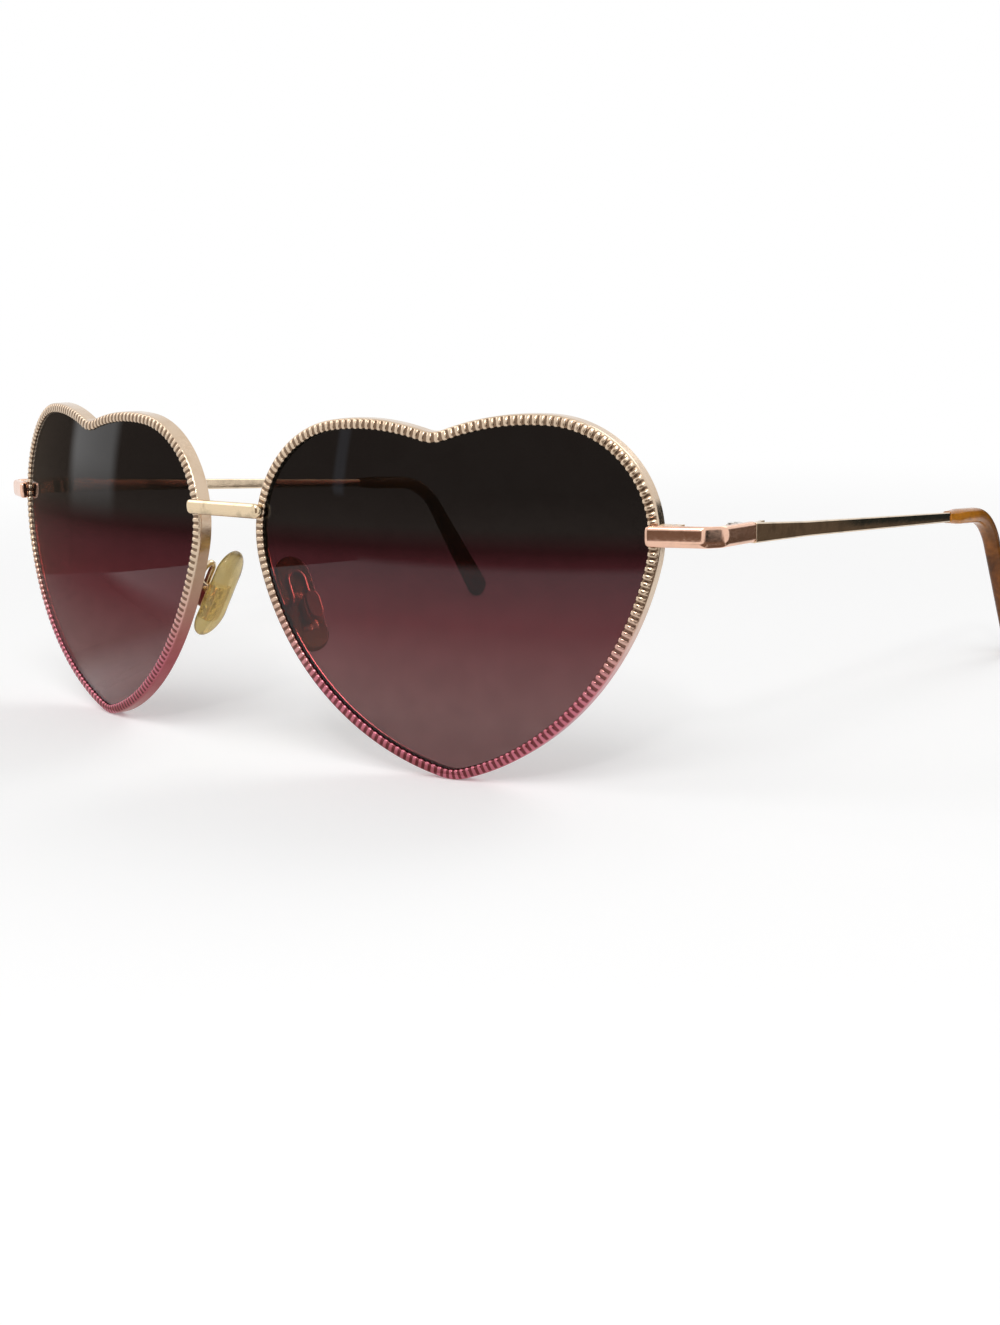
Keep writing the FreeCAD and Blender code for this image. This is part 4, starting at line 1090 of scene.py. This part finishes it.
class SUNGLASSES_OT_screws(bpy.types.Operator):
    """Slotted hinge, rim and pad screws"""

    bl_idname = "sunglasses.screws"
    bl_label = "Screws"

    def execute(self, context):
        wide = context.scene.bar_sizes.box_width
        steel = metal("screw_turning", context.scene.finishes.screw_steel, 0.2, 900.0, 0.8)
        low, high = (np.array(corner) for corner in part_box("hinge_screw_left"))
        top = np.append((low + high)[:2] / 2, high[2])
        places = {"hinge_screw": (high[2] - low[2], top, (0, 0, 1))}
        low, high = (np.array(corner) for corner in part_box("rim_screw_left"))
        top = np.append((low + high)[:2] / 2, low[2])
        places["rim_screw"] = (high[2] - low[2], top, (0, 0, -1))
        axis, cap = np.array(PAD_JOINT["axis"], float), SCREWS["pad_screw"][2]
        top = np.array(PAD_JOINT["pos_m"]) - axis * (wide / 2 + cap)
        places["pad_screw"] = (wide + cap, top, -axis)
        for side, sign in SIDES:
            for name, (reach, top, up) in places.items():
                points, faces = screw_surface(*SCREWS[name], reach)
                screw = set_along(points, top, up), faces
                add_surface(f"slotted_{name}_{side}", screw, sign, steel, "front", f"{name}_{side}",
                            SCREW_TURN)
        return {"FINISHED"}


class SUNGLASSES_OT_tips(bpy.types.Operator):
    """Tortoise temple tips"""

    bl_idname = "sunglasses.tips"
    bl_label = "Temple tips"

    def execute(self, context):
        scene = context.scene
        acetate = tortoise(scene.finishes)
        tip = tip_surface(scene.bar_sizes)
        for side, sign in SIDES:
            body, node = f"temple_{side}", f"temple_tip_{side}"
            add_surface(f"tortoise_tip_{side}", tip, sign, acetate, body, node)
        return {"FINISHED"}


class SUNGLASSES_OT_nose_pads(bpy.types.Operator):
    """Soft nose pads and the hard stems inside them"""

    bl_idname = "sunglasses.nose_pads"
    bl_label = "Nose pads"

    def execute(self, context):
        scene = context.scene
        soft, core = soft_pad(scene.finishes), bright_stem(scene.finishes)
        pad = pad_surface(scene.bar_sizes)
        for side, sign in SIDES:
            body = f"nose_pad_{side}"
            add_surface(f"soft_pad_{side}", pad, sign, soft, body, body)
            dress_node(f"pad_stem_{side}", core, STEM_EDGE)
        return {"FINISHED"}


def seen_rays(tree):
    """1 for what the camera sees directly, mirrored or through a lens, and 0 for falling light."""
    path = add_node(tree, "LightPath").outputs
    reflected = calculate(tree, "MAXIMUM", path["Is Camera Ray"], path["Is Glossy Ray"])
    return calculate(tree, "MAXIMUM", reflected, path["Is Transmission Ray"])


def mix_surfaces(tree, share, first, second, output="OutputMaterial"):
    """Show a share of the second shader over the first."""
    mix = add_node(tree, "MixShader", {"Fac": share, 1: first.outputs[0], 2: second.outputs[0]})
    add_node(tree, output, {"Surface": mix.outputs[0]})


def studio_world(scene):
    """Soft even light, with a white background for the camera, reflections and what shows through glass."""
    world = bpy.data.worlds.new("studio")
    world.use_nodes = True
    tree = world.node_tree
    tree.nodes.clear()
    soft = add_node(tree, "Background", {"Color": WHITE, "Strength": SOFT_LIGHT})
    white = add_node(tree, "Background", {"Color": WHITE})
    mix_surfaces(tree, seen_rays(tree), soft, white, "OutputWorld")
    scene.world = world


def bare_material(name):
    """Material with an empty node tree."""
    material = bpy.data.materials.new(name)
    material.use_nodes = True
    material.node_tree.nodes.clear()
    return material, material.node_tree


def floor_material(tint):
    """White studio floor that keeps the shadows near the object and fades into the background further out."""
    material, tree = bare_material("studio_floor")
    seen = seen_rays(tree)
    place = add_node(tree, "TexCoord").outputs["Object"]
    distance = add_node(tree, "VectorMath", {0: place}, operation="LENGTH").outputs["Value"]
    fade = add_node(tree, "MapRange", {
        "Value": distance, "From Min": FLOOR_FADE[0], "From Max": FLOOR_FADE[1],
    }, interpolation_type="SMOOTHSTEP")
    glow = add_node(tree, "Emission", {"Strength": calculate(tree, "MULTIPLY", seen, FLOOR_GLOW)})
    cover = add_node(tree, "BsdfDiffuse", {"Color": tint})
    near = add_node(tree, "AddShader", {0: glow.outputs[0], 1: cover.outputs[0]})
    share = calculate(tree, "MULTIPLY", fade.outputs["Result"], seen)
    mix_surfaces(tree, share, near, add_node(tree, "Emission"))
    return material


def card_material(name, tint, strength, mirror, through):
    """Glowing card with soft edges that paints a reflection: reflections show it as one even tone, whatever
    light falls on it.

    A mirror card shows in the glass alone, whose reflections are perfectly sharp; any other card shows
    in the metal alone, and one for what is behind glass only in the metal seen through a lens or a pad.
    """
    material, tree = bare_material(name)
    cover = add_node(tree, "Attribute", attribute_name="cover").outputs["Fac"]
    soft = add_node(tree, "MapRange", {"Value": cover}, interpolation_type="SMOOTHSTEP").outputs["Result"]
    path = add_node(tree, "LightPath").outputs
    kind = calculate(tree, "COMPARE", path["Is Singular Ray"], float(mirror))
    share = calculate(tree, "MULTIPLY", soft, kind)
    if through:
        behind = calculate(tree, "GREATER_THAN", path["Transmission Depth"], 0.5)
        share = calculate(tree, "MULTIPLY", share, behind)
    glow = add_node(tree, "Emission", {"Color": tint, "Strength": strength})
    mix_surfaces(tree, share, add_node(tree, "BsdfTransparent"), glow)
    return material


def card(name, centre, target, size, soft, material):
    """Flat card that faces a point, as a 4 by 4 grid whose border is as wide as its soft edge.

    The cover is 1 on the inner corners and 0 on the border. The camera doesn't see the card.
    """
    centre, target = Vector(centre), Vector(target)
    toward = np.array((target - centre).to_track_quat("Z", "Y").to_matrix())
    lines = [(-span / 2, soft - span / 2, span / 2 - soft, span / 2) for span in size]
    x, y = np.meshgrid(*lines, indexing="ij")
    points = np.stack((x, y, np.zeros_like(x)), axis=-1).reshape(-1, 3) @ toward.T + np.array(centre)
    cover = np.zeros(x.shape, np.float32)
    cover[1:-1, 1:-1] = 1.0
    mesh = bpy.data.meshes.new(name)
    mesh.from_pydata(points.tolist(), [], grid_faces(*x.shape).tolist())
    mesh.attributes.new("cover", "FLOAT", "POINT").data.foreach_set("value", cover.ravel())
    mesh.materials.append(material)
    piece = bpy.data.objects.new(name, mesh)
    for ray in ("camera", "shadow", "diffuse", "transmission"):
        setattr(piece, f"visible_{ray}", False)
    bpy.context.scene.collection.objects.link(piece)


# Tones of the cards, the colours of painted reflections and painted glints: linear colour, strength, seen in
# glass instead of metal, seen only behind glass
TONES = {
    "room": ((0.115, 0.09, 0.07), 1.0, True, False),
    "cloth": ((0.2, 0.17, 0.16), 1.0, True, False),
    "window": ((0.75, 0.82, 0.95), 0.6, True, False),
    "brown": ((0.115, 0.09, 0.07), 1.0, False, False),
    "dark": ((0.02, 0.025, 0.025), 1.0, False, False),
    "tan": ((0.18, 0.13, 0.1), 1.0, False, False),
    "sand": ((0.5, 0.42, 0.38), 1.0, False, False),
    "glint": ((1.0, 0.96, 0.9), 16.0, False, True),
    "pink_glint": ((1.0, 0.5, 0.45), 12.0, False, True),
}
# Cards, each a painted reflection, in metres: centre, point faced, width and height, soft border and tone
CARDS = (
    # Painted reflections of a dark room behind and below the temples, seen in the metal
    ("back_card", (0.0814, 0.2591, 0.0), (-0.0386, 0.0591, 0.0), (0.27, 0.16), 0.015, "brown"),
    ("back_dark_card", (0.059, 0.2626, 0.0), (-0.061, 0.0626, 0.0), (0.2, 0.15), 0.004, "dark"),
    ("back_floor_card", (0.135, 0.11, 0.0008), (0.135, 0.11, 1.0), (0.1, 0.34), 0.015, "brown"),
    # Painted glints on the near pad's arm, the stems and the far temple, seen only through glass
    ("pad_glint_card", (0.055, 0.164, 0.11), (0.0114, -0.0571, 0.0212), (0.3, 0.16), 0.03, "glint"),
    ("temple_glint_card", (0.2331, 0.1623, 0.02), (0.1131, -0.0377, 0.02), (0.26, 0.12), 0.03, "pink_glint"),
    # Painted reflections of darker surroundings to the right, for the near rim and end piece
    ("right_tan_card", (0.125, -0.182, 0.03), (0.125, 0.0, 0.03), (0.15, 0.13), 0.025, "tan"),
    ("right_dark_card", (0.25, -0.065, 0.02), (0.0, -0.065, 0.02), (0.07, 0.1), 0.025, "dark"),
    ("right_floor_card", (0.2, -0.06, 0.0008), (0.2, -0.06, 1.0), (0.24, 0.12), 0.02, "tan"),
    # Painted reflection of the shaded floor under the glasses, seen in the metal
    ("under_card", (0.0, -0.04, 0.0008), (0.0, -0.04, 1.0), (0.1, 0.07), 0.02, "sand"),
    # Painted reflections in the lenses: a dim room in front, to the side and at a sill, cloth on the floor,
    # and a window
    ("front_card", (0.025, -0.18, 0.217), (0.025, 0.0, 0.217), (0.6, 0.4), 0.005, "room"),
    ("side_card", (-0.18, -0.265, 0.15), (0.0, -0.265, 0.15), (0.3, 0.5), 0.012, "room"),
    ("side_back_card", (-0.18, 0.02, 0.15), (0.0, 0.02, 0.15), (0.2, 0.5), 0.012, "room"),
    ("side_sill_card", (-0.181, -0.0975, -0.05), (0.0, -0.0975, -0.05), (0.14, 0.2), 0.03, "room"),
    ("side_floor_card", (-0.1925, 0.0, 0.0008), (-0.1925, 0.0, 1.0), (0.295, 0.26), 0.03, "cloth"),
    ("window_card", (-0.06, -0.178, 0.093), (-0.06, 0.0, 0.093), (0.012, 0.094), 0.004, "window"),
)
# Lamps, in metres and watts: place, width and power, all aimed at one point
LAMPS = (
    ("key_light", (0.35, -0.5, 0.7), 0.5, 2.2),
    ("fill_light", (-0.6, -0.35, 0.55), 0.6, 1.2),
    ("back_light", (0.1, 0.6, 0.6), 0.5, 1.2),
    ("sparkle_light", (0.3, -0.45, 0.35), 0.06, 0.3),
)
LAMP_TARGET = Vector((0, 0, 0.03))


def add_floor(scene, tint):
    """Square floor under everything."""
    mesh = bpy.data.meshes.new("studio_floor")
    corners = [(FLOOR_HALF * x, FLOOR_HALF * y, 0) for x, y in ((-1, -1), (1, -1), (1, 1), (-1, 1))]
    mesh.from_pydata(corners, [], [(0, 1, 2, 3)])
    mesh.materials.append(floor_material(tint))
    floor = bpy.data.objects.new("studio_floor", mesh)
    scene.collection.objects.link(floor)


def add_lamp(scene, name, place, size, power):
    """Round soft lamp aimed at the object."""
    lamp = bpy.data.lights.new(name, "AREA")
    lamp.shape = "DISK"
    lamp.size = size
    lamp.energy = power
    light = bpy.data.objects.new(name, lamp)
    light.location = place
    light.rotation_euler = (LAMP_TARGET - Vector(place)).to_track_quat("-Z", "Y").to_euler()
    scene.collection.objects.link(light)


def add_camera(scene, stage):
    """Camera at its place, turned about the upright axis, pitched down and rolled."""
    turn, pitch, roll = stage.azimuth, stage.pitch, stage.roll
    level = math.cos(pitch)
    ahead = Vector((-math.sin(turn) * level, math.cos(turn) * level, -math.sin(pitch)))
    right = Vector((math.cos(turn), math.sin(turn), 0.0))
    up = right.cross(ahead)
    rolled = right * math.cos(roll) + up * math.sin(roll)
    upright = up * math.cos(roll) - right * math.sin(roll)
    view = bpy.data.cameras.new("photo_camera")
    view.sensor_width = SENSOR_WIDTH
    view.lens = stage.focal
    view.clip_start = 0.005
    camera = bpy.data.objects.new("photo_camera", view)
    pose = Matrix((rolled, upright, -ahead)).transposed().to_4x4()
    camera.matrix_world = Matrix.Translation((stage.camera_x, stage.camera_y, stage.camera_z)) @ pose
    scene.collection.objects.link(camera)
    scene.camera = camera


class SUNGLASSES_OT_stage(bpy.types.Operator):
    """Pale floor, soft lights, glowing cards that paint reflections and glints, and the camera"""

    bl_idname = "sunglasses.stage"
    bl_label = "Stage"

    def execute(self, context):
        scene = context.scene
        scene.view_settings.view_transform = "Standard"
        studio_world(scene)
        add_floor(scene, scene.stage_sizes.floor)
        tones = {name: card_material(f"{name}_card", *tone) for name, tone in TONES.items()}
        for *shape, tone in CARDS:
            card(*shape, tones[tone])
        for lamp in LAMPS:
            add_lamp(scene, *lamp)
        add_camera(scene, scene.stage_sizes)
        return {"FINISHED"}


STEPS = (
    SUNGLASSES_OT_stage, SUNGLASSES_OT_rims, SUNGLASSES_OT_lenses, SUNGLASSES_OT_bridge,
    SUNGLASSES_OT_temples, SUNGLASSES_OT_hinges, SUNGLASSES_OT_pad_arms, SUNGLASSES_OT_screws,
    SUNGLASSES_OT_tips, SUNGLASSES_OT_nose_pads,
)
GROUPS = {
    "heart_sizes": HeartSizes, "bar_sizes": BarSizes, "finishes": Finishes, "stage_sizes": StageSizes,
}


class SUNGLASSES_PT_panel(bpy.types.Panel):
    """Steps and values of the sunglasses"""

    bl_idname = "SUNGLASSES_PT_panel"
    bl_label = "Heart Sunglasses"
    bl_space_type = "VIEW_3D"
    bl_region_type = "UI"
    bl_category = "Sunglasses"

    def draw(self, context):
        layout = self.layout
        for step in STEPS:
            layout.operator(step.bl_idname)
        for name, group in GROUPS.items():
            box = layout.box()
            box.label(text=group.__doc__)
            for prop in group.__annotations__:
                box.prop(getattr(context.scene, name), prop)


CLASSES = (*GROUPS.values(), *STEPS, SUNGLASSES_PT_panel)


def register():
    for item in CLASSES:
        bpy.utils.register_class(item)
    for name, group in GROUPS.items():
        setattr(bpy.types.Scene, name, PointerProperty(type=group))


def unregister():
    for name in GROUPS:
        delattr(bpy.types.Scene, name)
    for item in reversed(CLASSES):
        bpy.utils.unregister_class(item)


def main():
    """Build every piece and the stage."""
    register()
    for step in STEPS:
        family, action = step.bl_idname.split(".")
        getattr(getattr(bpy.ops, family), action)()
    bpy.context.view_layer.update()


if __name__ == "__main__":
    main()
